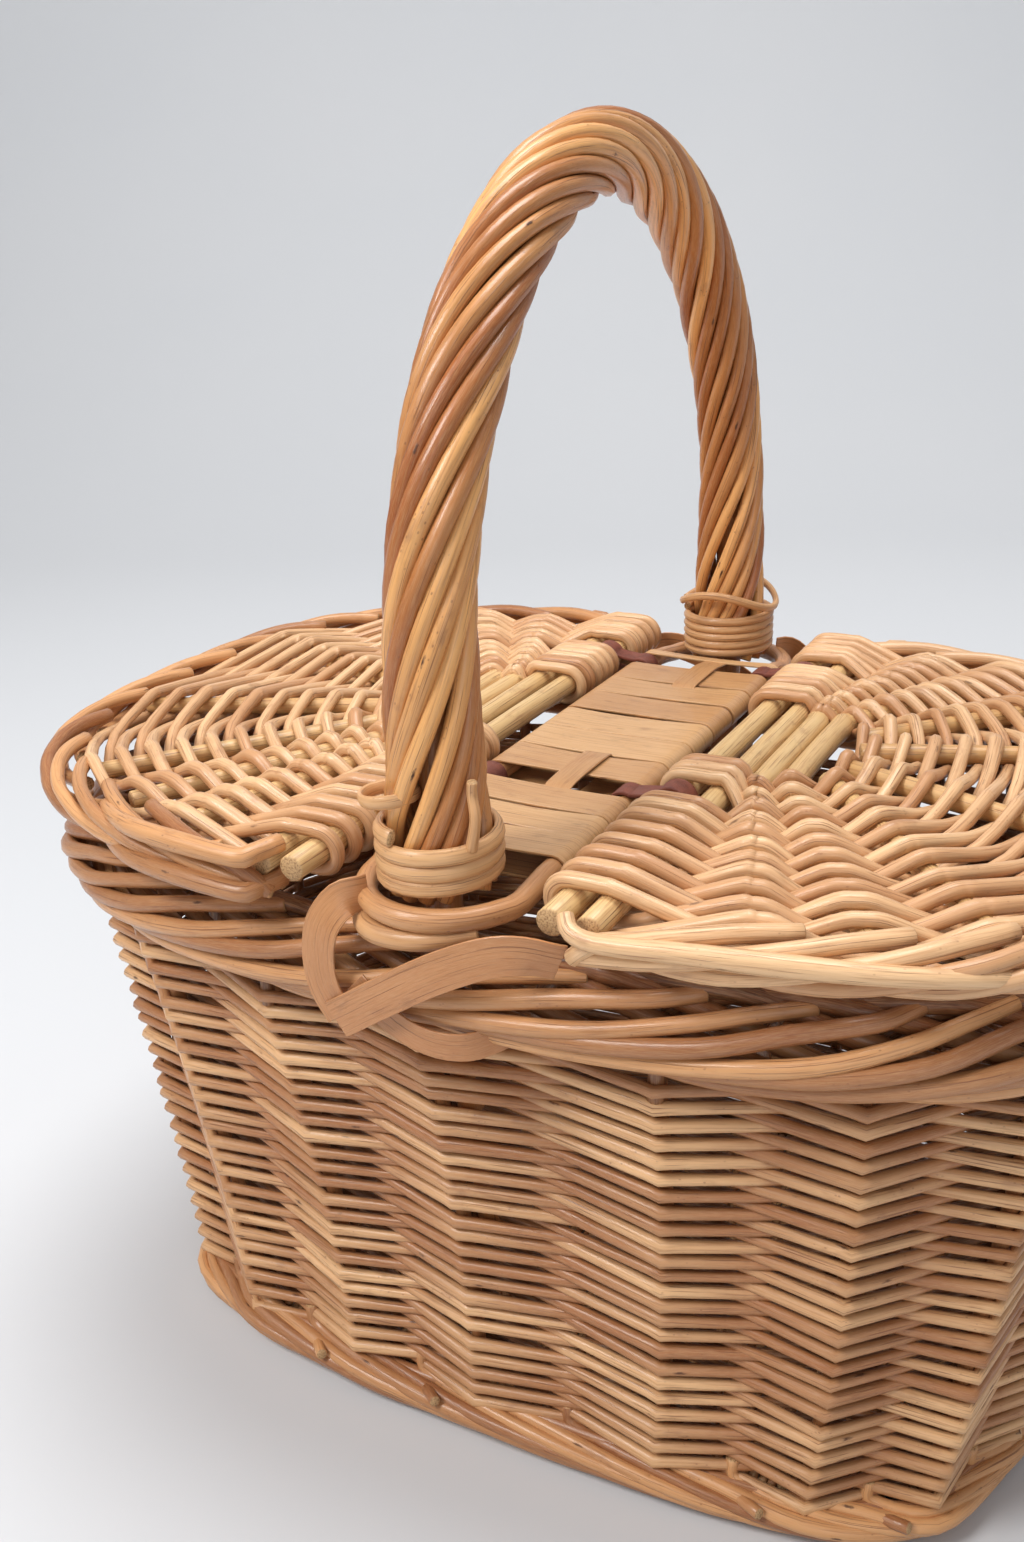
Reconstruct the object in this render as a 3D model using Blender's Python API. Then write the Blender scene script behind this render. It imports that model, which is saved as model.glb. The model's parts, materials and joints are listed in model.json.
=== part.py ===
"""Double-lid willow picnic basket: a tapered woven body with a roped handle and two hinged lids.

Metres, +Z up. The origin is on the floor under the middle of the basket. X runs through both
lids, Y runs along the two hinge lines, and the handle stands in the plane x = 0.
"""

from math import cos, pi, sin, sqrt

import bmesh
import bpy
from mathutils import Vector

# Fits
GAP = 0.0003  # clearance left between pieces that touch

# Body
BODY_HEIGHT = 0.180  # floor to the top of the side weave
TOP_HALF_LENGTH = 0.1873  # outside of the weave at its top, along X
TOP_HALF_WIDTH = 0.1288  # the same along Y
TAPER_X = 0.0263  # how much less the half length is at the foot
TAPER_Y = 0.0257
BULGE_X = 0.0092  # bow of the end walls between foot and top
BULGE_Y = -0.0278  # the long walls hollow instead
SQUARENESS_FOOT = 3.9  # exponent of the rounded outline
SQUARENESS_TOP = 3.05
WEAVE_THICKNESS = 0.003
WALL_LEVELS = 4
STAKE_RADIUS = 0.0025
LONG_SIDE_STAKES = (-0.881, -0.655, -0.354, 0.0, 0.354, 0.655, 0.881)  # shares of the half length
SHORT_SIDE_STAKES = (-0.36, 0.0, 0.36)  # shares of the half width

# Foot and base
FOOT_HEIGHT = 0.0125
FOOT_OVERHANG = 0.003  # foot border outside the weave
FOOT_WIDTH = 0.012
BASE_THICKNESS = 0.004
BASE_LIFT = 0.008  # underside of the woven base above the floor
BASE_STICK_RADIUS = 0.003
BASE_STICK_SHARE = 0.42  # place of the two base sticks, as a share of the base half width

# Rim border
RIM_HALF_WIDTH = 0.0062  # of each ring, across the wall
RIM_LOWER_FLARE = 0.0015  # middle of the lower ring outside the top of the weave
RIM_UPPER_FLARE = 0.0060

# Handle
LEG_INSET = 0.0088  # middle of a leg inside the top of the weave
STRAIGHT_RISE = 0.100  # the legs stand straight this far over the weave
ARCH_RISE = 0.1335
BOW_RADIUS = 0.0055
BOW_SIDES = 10
ROPE_RADIUS = 0.0130  # over the strands on the arch
ROPE_FOOT_RADIUS = 0.0162  # over the strands at the lapping
ROPE_PITCH = 0.175  # length of one full turn of a strand
BUNDLES = 3
BOW_DEPTH = 0.090  # the ends of the bow are pushed this far down inside the weave
BOW_ROOM = 0.0025  # between the pushed-in bow and the weave
BOW_STAKE_ROOM = 0.0005  # between the bow and the stake beside it
LAPPING_HEIGHT = 0.0200
LAPPING_THICKNESS = 0.0018

# Bridge between the legs
RAIL_RISE = 0.0418  # rails over the top of the weave
RAIL_RADIUS = 0.0035
RAIL_ROOM = 0.0090  # from the foot of the rope to the middle of a rail, along X
SKEIN = 0.0007  # thickness of the split willow
SKEIN_END = 0.0195  # from the middle of a leg to the nearest skein
SKEIN_ROOM = 0.0017  # between the skeins and the leather
WEAVER_WIDTH = 0.009
STRAP_WIDTH = 0.0115
STRAP_LINE = ((-0.0285, 0.0345), (-0.0228, 0.0050), (0.0360, 0.0345))  # X, and height over the weave

# Lids
LID_OVERHANG_X = 0.0117  # outside of the lid border from the top of the weave
LID_OVERHANG_Y = 0.0147
LID_SQUARENESS = 3.0
LID_BORDER_RADIUS = 0.0068
LID_BORDER_DROP = 0.0014  # middle of the lid border under the middles of the sticks
LID_STICK_RADIUS = 0.0041
FIRST_STICK_GAP = 0.0030  # leaves room for the leather between the first two sticks
LID_STICK_GAP = 0.0006
LID_STICK_RISE = 0.0446  # sticks over the top of the weave
HINGE_GAP = 0.0084  # between a rail and the lid's inner stick, along X
LID_STICK_INSET = 0.0090  # ends of the straight sticks inside the lid border
PANEL_THICKNESS = 0.0032
WINDOW_HALF = 0.0300  # the open window at the hinge edge, along Y
WINDOW_MIDDLE = 0.0100
STICK_LEANS = (0.30, 0.51)  # how far the third and fourth stick turn away from Y
SHORT_STICK_LEAN = 0.90  # and the short ones from X
SHORT_STICK_TIP = 0.0048  # from the fourth stick to the tip of a short one, along X
SHORT_STICK_SPREAD = 0.0245  # from the middle of the window to that tip, along Y
LOOP_SHARES = (-0.3783, 0.7358)  # places of the leather, as shares of the way to a leg
LOOP_WIDTH = 0.0085
LEATHER = 0.0013
STICK_CLEARANCE = 0.0005  # the lid's inner stick turns freely in the leather

WILLOW = (0.62, 0.40, 0.22, 1.0)
PALE_WILLOW = (0.78, 0.60, 0.36, 1.0)
SKEIN_BROWN = (0.66, 0.44, 0.25, 1.0)
LEATHER_BROWN = (0.20, 0.07, 0.05, 1.0)

# Sizes that follow from those above
LEG_STAKE_SHIFT = BOW_RADIUS + STAKE_RADIUS + BOW_STAKE_ROOM  # the stake beside a leg stands this far along X
LEG_Y = TOP_HALF_WIDTH - LEG_INSET
STRAIGHT_TOP = BODY_HEIGHT + STRAIGHT_RISE
BOW_FOOT = BODY_HEIGHT - BOW_DEPTH
BOW_INSET = WEAVE_THICKNESS + BOW_RADIUS + BOW_ROOM  # below the rim, from the outer face of the weave
RAIL_HEIGHT = BODY_HEIGHT + RAIL_RISE
RAIL_X = ROPE_FOOT_RADIUS + RAIL_ROOM
LID_STICK_HEIGHT = BODY_HEIGHT + LID_STICK_RISE
LID_BORDER_HEIGHT = LID_STICK_HEIGHT - LID_BORDER_DROP
RIM_TOP = LID_BORDER_HEIGHT - LID_BORDER_RADIUS - GAP
RIM_HALF_HEIGHT = (RIM_TOP - BODY_HEIGHT - 2 * GAP) / 4
HOOP_LOW = RIM_TOP + RAIL_RADIUS + GAP  # the hoop lies on the rim where it passes round a leg
LAPPING_FOOT = HOOP_LOW + RAIL_RADIUS + GAP
LOOP_PLACES = [LEG_Y * share for share in LOOP_SHARES]
BESIDE_LOOP = LOOP_WIDTH / 2 + SKEIN_ROOM
SKEIN_GROUPS = (
    (SKEIN_END - LEG_Y, LOOP_PLACES[0] - BESIDE_LOOP),
    (LOOP_PLACES[0] + BESIDE_LOOP, LOOP_PLACES[1] - BESIDE_LOOP),
    (LOOP_PLACES[1] + BESIDE_LOOP, LEG_Y - SKEIN_END),
)
LID_HALF_LENGTH = TOP_HALF_LENGTH + LID_OVERHANG_X
LID_HALF_WIDTH = TOP_HALF_WIDTH + LID_OVERHANG_Y
LID_STICK_HALF = LID_HALF_WIDTH - LID_STICK_INSET
STICK_X = RAIL_X + RAIL_RADIUS + HINGE_GAP + LID_STICK_RADIUS  # the inner stick, on whose axis a lid turns
SECOND_STICK_X = STICK_X + 2 * LID_STICK_RADIUS + FIRST_STICK_GAP
STICKS_ACROSS = [STICK_X] + [SECOND_STICK_X + k * (2 * LID_STICK_RADIUS + LID_STICK_GAP) for k in range(3)]
LID_INSET = 2 * LID_BORDER_RADIUS + 2 * GAP  # from the outside of a lid to its woven sheet


def clear_scene():
    for thing in list(bpy.data.objects):
        bpy.data.objects.remove(thing, do_unlink=True)


def finish_of(name, colour, roughness):
    finish = bpy.data.materials.new(name)
    finish.use_nodes = True
    shader = finish.node_tree.nodes["Principled BSDF"]
    shader.inputs["Base Color"].default_value = colour
    shader.inputs["Roughness"].default_value = roughness
    finish.diffuse_color = colour
    return finish


def solid(name, points, faces, colour, roughness=0.6, origin=(0, 0, 0), smooth=True):
    """One object from points and faces in basket coordinates, with its origin where asked."""
    mesh = bpy.data.meshes.new(name)
    start = Vector(origin)
    mesh.from_pydata([Vector(p) - start for p in points], [], faces)
    work = bmesh.new()
    work.from_mesh(mesh)
    bmesh.ops.recalc_face_normals(work, faces=work.faces)
    work.to_mesh(mesh)
    work.free()
    if smooth:
        mesh.shade_smooth()
    thing = bpy.data.objects.new(name, mesh)
    thing.location = start
    bpy.context.scene.collection.objects.link(thing)
    mesh.materials.append(finish_of(name + "_finish", colour, roughness))
    return thing


def power(value, exponent):
    return (abs(value) ** exponent) * (1 if value >= 0 else -1)


def rounded_point(half_x, half_y, squareness, angle):
    share = 2 / squareness
    return half_x * power(cos(angle), share), half_y * power(sin(angle), share)


def even_outline(half_x, half_y, squareness, count, start=0.0, end=2 * pi):
    """Points spaced evenly along the rounded outline, from one angle to the other."""
    fine = 1440
    whole = abs(end - start - 2 * pi) < 1e-9
    raw = [
        rounded_point(half_x, half_y, squareness, start + (end - start) * i / fine)
        for i in range(fine + 1)
    ]
    run = [0.0]
    for one, two in zip(raw, raw[1:]):
        run.append(run[-1] + sqrt((two[0] - one[0]) ** 2 + (two[1] - one[1]) ** 2))
    steps = count if whole else count - 1
    points, k = [], 0
    for i in range(count):
        want = run[-1] * i / steps
        while k < fine - 1 and run[k + 1] < want:
            k += 1
        share = (want - run[k]) / max(run[k + 1] - run[k], 1e-12)
        points.append(
            (
                raw[k][0] + (raw[k + 1][0] - raw[k][0]) * share,
                raw[k][1] + (raw[k + 1][1] - raw[k][1]) * share,
            )
        )
    return points


def loft(rings, closed_run=False):
    """Faces that join equal rings in order, with both ends filled unless the run closes."""
    sides = len(rings[0])
    points = [p for ring in rings for p in ring]
    faces = []
    last = len(rings) if closed_run else len(rings) - 1
    for i in range(last):
        near, far = i * sides, (i + 1) % len(rings) * sides
        for j in range(sides):
            k = (j + 1) % sides
            faces.append((near + j, near + k, far + k, far + j))
    if not closed_run:
        faces.append(tuple(range(sides)))
        faces.append(tuple(range(len(points) - sides, len(points))))
    return points, faces


def frames(path, closed_run=False, up=(0, 0, 1)):
    """Middle, side and upward direction of the section at each point of a path."""
    path = [Vector(p) for p in path]
    count = len(path)
    found, hint = [], Vector(up)
    for i, here in enumerate(path):
        if closed_run:
            along = path[(i + 1) % count] - path[i - 1]
        else:
            along = path[min(i + 1, count - 1)] - path[max(i - 1, 0)]
        along.normalize()
        upward = hint - along * hint.dot(along)
        if upward.length < 1e-6:
            upward = along.orthogonal()
        upward.normalize()
        if not closed_run:
            hint = upward
        found.append((here, along.cross(upward), upward))
    return found


def tube(path, radius, sides=8, closed_run=False, up=(0, 0, 1), flat=1.0):
    """A round rod along a path; its flats lie at the radius, which may differ from point to point."""
    radii = radius if isinstance(radius, (list, tuple)) else [radius] * len(path)
    corner = 1 / cos(pi / sides)
    rings = []
    for (middle, side, upward), r in zip(frames(path, closed_run, up), radii):
        r *= corner
        rings.append(
            [
                middle
                + side * (r * cos(2 * pi * (j + 0.5) / sides))
                + upward * (flat * r * sin(2 * pi * (j + 0.5) / sides))
                for j in range(sides)
            ]
        )
    return loft(rings, closed_run)


# The outline of the side weave at any height


def wall_half(height):
    q = height / BODY_HEIGHT
    swell = q * (1 - q)
    return (
        TOP_HALF_LENGTH - TAPER_X * (1 - q) + BULGE_X * swell,
        TOP_HALF_WIDTH - TAPER_Y * (1 - q) + BULGE_Y * swell,
        SQUARENESS_FOOT + (SQUARENESS_TOP - SQUARENESS_FOOT) * q,
    )


def edge_y(half_x, half_y, squareness, x):
    return half_y * max(1 - abs(x / half_x) ** squareness, 0.0) ** (1 / squareness)


def edge_x(half_x, half_y, squareness, y):
    return half_x * max(1 - abs(y / half_y) ** squareness, 0.0) ** (1 / squareness)


def stake_points(height):
    """Where the twenty stakes meet the outer outline, counter-clockwise from the +X end."""
    half_x, half_y, squareness = wall_half(height)
    shift = LEG_STAKE_SHIFT
    east = [(edge_x(half_x, half_y, squareness, y * half_y), y * half_y) for y in SHORT_SIDE_STAKES]
    north = []
    for share in reversed(LONG_SIDE_STAKES):
        x = share * half_x + (shift if share == 0 else 0)
        north.append((x, edge_y(half_x, half_y, squareness, x)))
    return east + north + [(-x, -y) for x, y in east] + [(-x, -y) for x, y in north]


def wall_ring(height):
    """Outline of the weave: a short flat on each stake and two points in every bay."""
    stakes = stake_points(height)
    half_x, half_y, squareness = wall_half(height)
    ring = []
    for i, here in enumerate(stakes):
        there = stakes[(i + 1) % len(stakes)]
        for share in (0.14, 0.5, 0.86):
            x = here[0] + (there[0] - here[0]) * share
            y = here[1] + (there[1] - here[1]) * share
            size = (abs(x / half_x) ** squareness + abs(y / half_y) ** squareness) ** (1 / squareness)
            ring.append((x / size, y / size))
    return ring


def inward(ring, distance):
    """The ring moved inwards by the distance, corner by corner."""
    moved = []
    count = len(ring)
    for i in range(count):
        before, here, after = Vector(ring[i - 1]), Vector(ring[i]), Vector(ring[(i + 1) % count])
        one, two = (here - before).normalized(), (after - here).normalized()
        n1, n2 = Vector((-one.y, one.x)), Vector((-two.y, two.x))
        middle = (n1 + n2).normalized()
        moved.append(here + middle * (distance / max(middle.dot(n1), 0.3)))
    return moved


def ring_wall(levels, rings_out, rings_in):
    """A closed wall from outer and inner rings at the same levels."""
    around = []
    for ring, z in list(zip(rings_out, levels)) + list(zip(reversed(rings_in), reversed(levels))):
        around.append([(x, y, z) for x, y in ring])
    return loft(around, closed_run=True)


def wall_levels():
    low = FOOT_HEIGHT + GAP
    return [low + (BODY_HEIGHT - low) * i / (WALL_LEVELS - 1) for i in range(WALL_LEVELS)]


def side_weave():
    levels = wall_levels()
    outer = [wall_ring(z) for z in levels]
    inner = [inward(ring, WEAVE_THICKNESS) for ring in outer]
    points, faces = ring_wall(levels, outer, inner)
    solid("side_weave", points, faces, WILLOW)


def stakes():
    """Each stake stands against the flat that the weave keeps for it."""
    levels = wall_levels()
    depth = WEAVE_THICKNESS + STAKE_RADIUS + 2 * GAP  # the weave twists a little round the corners
    rings = [wall_ring(z) for z in levels]
    count = len(rings[0]) // 3
    for i in range(count):
        path = []
        for ring, z in zip(rings, [levels[0] + 3 * GAP] + levels[1:-1] + [levels[-1] - 2 * GAP]):
            one, two = Vector(ring[3 * i - 1]), Vector(ring[3 * i])
            normal = Vector((-(two - one).y, (two - one).x)).normalized()
            foot = (one + two) / 2 + normal * depth
            path.append((foot.x, foot.y, z))
        points, faces = tube(path, STAKE_RADIUS, 6, up=(two - one).to_3d())
        solid(f"stake_{i + 1:02d}", points, faces, WILLOW)


def foot_border():
    """A rolled border: flat under the basket, rounded outside."""
    low, high = wall_half(0.0), wall_half(FOOT_HEIGHT)
    section = (
        (FOOT_OVERHANG - 0.003, 0.0),
        (FOOT_OVERHANG, 0.0035),
        (FOOT_OVERHANG, FOOT_HEIGHT - 0.0035),
        (FOOT_OVERHANG - 0.003, FOOT_HEIGHT),
        (FOOT_OVERHANG - FOOT_WIDTH, FOOT_HEIGHT),
        (FOOT_OVERHANG - FOOT_WIDTH, 0.0),
    )
    rings = []
    for out, z in section:
        share = z / FOOT_HEIGHT
        half_x = low[0] + (high[0] - low[0]) * share + out
        half_y = low[1] + (high[1] - low[1]) * share + out
        rings.append([(x, y, z) for x, y in even_outline(half_x, half_y, low[2], 48)])
    points, faces = loft(rings, closed_run=True)
    solid("foot_border", points, faces, WILLOW)


def base():
    half_x, half_y, squareness = wall_half(0.0)
    inset = FOOT_WIDTH - FOOT_OVERHANG + GAP
    rings = []
    for z in (BASE_LIFT, BASE_LIFT + BASE_THICKNESS):
        outline = even_outline(half_x - inset, half_y - inset, squareness, 48)
        rings.append([(x, y, z) for x, y in outline])
    points, faces = loft(rings)
    solid("base_weave", points, faces, WILLOW)
    for side, name in ((-1, "base_stick_front"), (1, "base_stick_back")):
        y = side * BASE_STICK_SHARE * half_y
        reach = edge_x(half_x - inset, half_y - inset, squareness, y) - 0.004
        z = BASE_LIFT - BASE_STICK_RADIUS - GAP
        points, faces = tube([(-reach, y, z), (reach, y, z)], BASE_STICK_RADIUS, 8)
        solid(name, points, faces, PALE_WILLOW)


def rim_border():
    """Two stout rings of turned-down stakes; the upper one flares out under the lids."""
    half_x, half_y, squareness = wall_half(BODY_HEIGHT)
    for name, out, z in (
        ("rim_border_lower", RIM_LOWER_FLARE, BODY_HEIGHT + GAP + RIM_HALF_HEIGHT),
        ("rim_border_upper", RIM_UPPER_FLARE, RIM_TOP - RIM_HALF_HEIGHT),
    ):
        outline = even_outline(half_x + out, half_y + out, squareness, 44)
        path = [(x, y, z) for x, y in outline]
        flat = RIM_HALF_HEIGHT / RIM_HALF_WIDTH
        points, faces = tube(path, RIM_HALF_WIDTH, 8, closed_run=True, flat=flat)
        solid(name, points, faces, WILLOW)


# Handle


def leg_inside(height):
    """Where the pushed-in end of the bow stands below the rim, measured along Y."""
    return wall_half(min(height, BODY_HEIGHT))[1] - BOW_INSET


def arch_path(low, count_leg, count_arch):
    """The middle line of the handle from the near leg over the arch to the far leg."""
    near = [(0, -LEG_Y, low + (STRAIGHT_TOP - low) * i / count_leg) for i in range(count_leg)]
    arch = []
    for i in range(count_arch + 1):
        angle = pi * i / count_arch
        arch.append((0, -LEG_Y * cos(angle), STRAIGHT_TOP + ARCH_RISE * sin(angle)))
    return near + arch + [(0, -y, z) for _, y, z in reversed(near)]


def handle():
    rope = arch_path(LAPPING_FOOT, 4, 34)
    lower = []
    steps = 5
    for i in range(steps):
        z = BOW_FOOT + (BODY_HEIGHT + 0.010 - BOW_FOOT) * i / (steps - 1)
        lower.append((0, -leg_inside(z), z))
    bow = lower + rope + [(0, -y, z) for _, y, z in reversed(lower)]
    points, faces = tube(bow, BOW_RADIUS, BOW_SIDES, up=(1, 0, 0))
    solid("handle_bow", points, faces, WILLOW)

    run = [0.0]
    for one, two in zip(rope, rope[1:]):
        run.append(run[-1] + (Vector(two) - Vector(one)).length)
    inner = (BOW_RADIUS / cos(pi / BOW_SIDES) + GAP) / cos(pi / 9)
    half_angle = pi / BUNDLES
    for b in range(BUNDLES):
        rings = []
        for (middle, side, upward), s in zip(frames(rope, up=(1, 0, 0)), run):
            from_end = min(s, run[-1] - s)
            flare = max(0.0, 1 - from_end / 0.055) ** 2
            outer = ROPE_RADIUS + (ROPE_FOOT_RADIUS - ROPE_RADIUS) * flare
            turn = 2 * pi * (s / ROPE_PITCH + b / BUNDLES)
            ring = []
            for r, steps_r in ((outer, 4), (inner, 3)):
                reach = half_angle - GAP * 0.75 / r
                for k in range(steps_r + 1):
                    share = 2 * k / steps_r - 1
                    angle = turn + reach * (share if r == outer else -share)
                    ring.append(middle + side * (r * cos(angle)) - upward * (r * sin(angle)))
            rings.append(ring)
        points, faces = loft(rings)
        solid(f"handle_bundle_{b + 1}", points, faces, WILLOW)


def lappings():
    """Collars of split willow wound round the foot of each leg."""
    inner = ROPE_FOOT_RADIUS + GAP
    sides = 20
    for sign, name in ((-1, "lapping_near"), (1, "lapping_far")):
        loops = []
        for r, z in (
            (inner, LAPPING_FOOT),
            (inner + LAPPING_THICKNESS, LAPPING_FOOT),
            (inner + LAPPING_THICKNESS, LAPPING_FOOT + LAPPING_HEIGHT),
            (inner, LAPPING_FOOT + LAPPING_HEIGHT),
        ):
            r_use = r / cos(pi / sides)
            loops.append(
                [
                    (r_use * cos(2 * pi * j / sides), sign * LEG_Y + r_use * sin(2 * pi * j / sides), z)
                    for j in range(sides)
                ]
            )
        points, faces = loft(loops, closed_run=True)
        solid(name, points, faces, SKEIN_BROWN)


# Bridge


RAIL_END = SKEIN_GROUPS[-1][1] + 0.004  # the rails are straight up to here
TURN_Y = LEG_Y - 0.008  # the hoop starts to turn round a leg here


def hoop_path():
    """The rod that runs along both sides of the bridge and passes round the two legs."""
    path = [(RAIL_X, RAIL_END * (i / 3 - 1), RAIL_HEIGHT) for i in range(7)]
    reach = LEG_Y + ROPE_FOOT_RADIUS + RAIL_RADIUS - TURN_Y
    for i in range(12):
        angle = pi * i / 11
        path.append((RAIL_X * cos(angle), TURN_Y + reach * sin(angle), HOOP_LOW))
    return path + [(-x, -y, z) for x, y, z in path]


def bridge():
    points, faces = tube(hoop_path(), RAIL_RADIUS, 8, closed_run=True)
    solid("bridge_hoop", points, faces, WILLOW)
    inner = (RAIL_RADIUS / cos(pi / 8) + GAP) / cos(pi / 12)
    outer = inner + SKEIN
    for (start, end), name in zip(SKEIN_GROUPS, ("near", "middle", "far")):
        rings = []
        for r, y in ((outer, start), (outer, end), (inner, end), (inner, start)):
            ring = []
            for sign in (1, -1):
                for k in range(7):
                    angle = pi * k / 6 - pi / 2
                    x = RAIL_X + r * cos(angle)
                    ring.append((sign * x, y, RAIL_HEIGHT + sign * r * sin(angle)))
            rings.append(ring)
        points, faces = loft(rings, closed_run=True)
        solid(f"bridge_skein_{name}", points, faces, SKEIN_BROWN)
    reach = SKEIN_GROUPS[-1][1] - 0.001
    half, top = WEAVER_WIDTH / 2, RAIL_HEIGHT + inner - GAP
    section = [(-half, top - SKEIN), (half, top - SKEIN), (half, top), (-half, top)]
    rings = [[(x, y, z) for x, z in section] for y in (-reach, reach)]
    points, faces = loft(rings)
    solid("bridge_long_skein", points, faces, SKEIN_BROWN, smooth=False)


def straps():
    """Flat splits folded in a V over the rim border outside each handle leg."""
    face = wall_half(BODY_HEIGHT)[1] + RIM_UPPER_FLARE + RIM_HALF_WIDTH + GAP
    for sign, name in ((-1, "strap_near"), (1, "strap_far")):
        spine = [Vector((-sign * x, BODY_HEIGHT + z)) for x, z in STRAP_LINE]
        runs = [(two - one).normalized() for one, two in zip(spine, spine[1:])]
        sides = [Vector((-run.y, run.x)) for run in runs]
        fold = (sides[0] + sides[1]).normalized()
        fold /= fold.dot(sides[0])
        rings = []
        for middle, across in zip(spine, (sides[0], fold, sides[1])):
            one, two = (middle + across * (STRAP_WIDTH / 2 * k) for k in (-1, 1))
            rings.append(
                [
                    (one.x, sign * face, one.y),
                    (two.x, sign * face, two.y),
                    (two.x, sign * (face + SKEIN), two.y),
                    (one.x, sign * (face + SKEIN), one.y),
                ]
            )
        points, faces = loft(rings)
        solid(name, points, faces, SKEIN_BROWN, smooth=False)


# Lids


def stick_eye():
    return LID_STICK_RADIUS / cos(pi / 8) + STICK_CLEARANCE


def lid_border_line(count):
    """The middle line of a lid border, from the near hinge corner round to the far one."""
    half_x = LID_HALF_LENGTH - LID_BORDER_RADIUS
    half_y = LID_HALF_WIDTH - LID_BORDER_RADIUS
    start = STICKS_ACROSS[1] + LID_STICK_RADIUS + 3 * GAP
    fine = even_outline(half_x, half_y, LID_SQUARENESS, 400, -pi / 2, pi / 2)
    corner = edge_y(half_x, half_y, LID_SQUARENESS, start)
    line = [(start, -corner)] + [p for p in fine if p[0] > start + 0.002] + [(start, corner)]
    return [line[round(i * (len(line) - 1) / (count - 1))] for i in range(count)]


def panel_outline():
    """Outline of the woven sheet, with the window and the two gaps for the leather."""
    half_x, half_y = LID_HALF_LENGTH - LID_INSET, LID_HALF_WIDTH - LID_INSET
    start = STICK_X - LID_STICK_RADIUS
    fine = even_outline(half_x, half_y, LID_SQUARENESS, 400, -pi / 2, pi / 2)
    curve = [p for p in fine if p[0] > start + 0.004]
    curve = [curve[round(i * (len(curve) - 1) / 27)] for i in range(28)]
    corner = edge_y(half_x, half_y, LID_SQUARENESS, start)
    line = [(start, -corner)] + curve + [(start, corner)]
    window = (WINDOW_MIDDLE, WINDOW_HALF, STICKS_ACROSS[3] + LID_STICK_RADIUS)
    loop_depth = STICK_X + stick_eye() + LEATHER + 2 * GAP
    gaps = [(y, LOOP_WIDTH / 2 + 2 * GAP, loop_depth) for y in LOOP_PLACES] + [window]
    for middle, half, deep in sorted(gaps, reverse=True):
        line += [(start, middle + half), (deep, middle + half)]
        line += [(deep, middle - half), (start, middle - half)]
    return line


def lid_panel(name, side, axis):
    """The woven sheet of a lid, lying on its sticks."""
    low = LID_STICK_HEIGHT + LID_STICK_RADIUS + GAP
    outline = panel_outline()
    rings = [[(side * x, y, z) for x, y in outline] for z in (low, low + PANEL_THICKNESS)]
    points, faces = loft(rings)
    solid(name + "_weave", points, faces, WILLOW, origin=axis, smooth=False)


def to_border(x, y, dx, dy):
    """The last point before the border on a straight line from a point inside the lid."""
    half_x, half_y = LID_HALF_LENGTH - LID_INSET, LID_HALF_WIDTH - LID_INSET
    step = 0.0
    while (abs((x + dx * step) / half_x) ** LID_SQUARENESS + abs((y + dy * step) / half_y) ** LID_SQUARENESS) < 1:
        step += 0.0005
    step -= LID_STICK_RADIUS + 0.002
    return x + dx * step, y + dy * step


def lid_sticks(name, side, axis):
    """Four sticks side by side at the window; the outer two fan out, and two short ones follow."""
    runs = [[(x, -LID_STICK_HALF), (x, LID_STICK_HALF)] for x in STICKS_ACROSS[:2]]
    for x, lean, ease in zip(STICKS_ACROSS[2:], STICK_LEANS, (0.0012, 0.0050)):
        ends = []
        for sign in (-1, 1):
            y = WINDOW_MIDDLE + sign * WINDOW_HALF
            soft = (x + ease, y + sign * 0.010)
            ends.append([to_border(*soft, sin(lean), sign * cos(lean)), soft, (x, y)])
        runs.append(ends[0] + ends[1][::-1])
    tip = STICKS_ACROSS[3] + 2 * LID_STICK_RADIUS + SHORT_STICK_TIP
    for sign in (-1, 1):
        y = WINDOW_MIDDLE + sign * SHORT_STICK_SPREAD
        lean = SHORT_STICK_LEAN
        runs.append([(tip, y), to_border(tip, y, cos(lean), sign * sin(lean))])
    for k, run in enumerate(runs):
        path = [(side * x, y, LID_STICK_HEIGHT) for x, y in run]
        points, faces = tube(path, LID_STICK_RADIUS, 8)
        solid(f"{name}_stick_{k + 1}", points, faces, PALE_WILLOW, origin=axis)


def lid_border(name, side, axis):
    path = [(side * x, y, LID_BORDER_HEIGHT) for x, y in lid_border_line(32)]
    points, faces = tube(path, LID_BORDER_RADIUS, 8)
    solid(name + "_border", points, faces, WILLOW, origin=axis)


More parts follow.
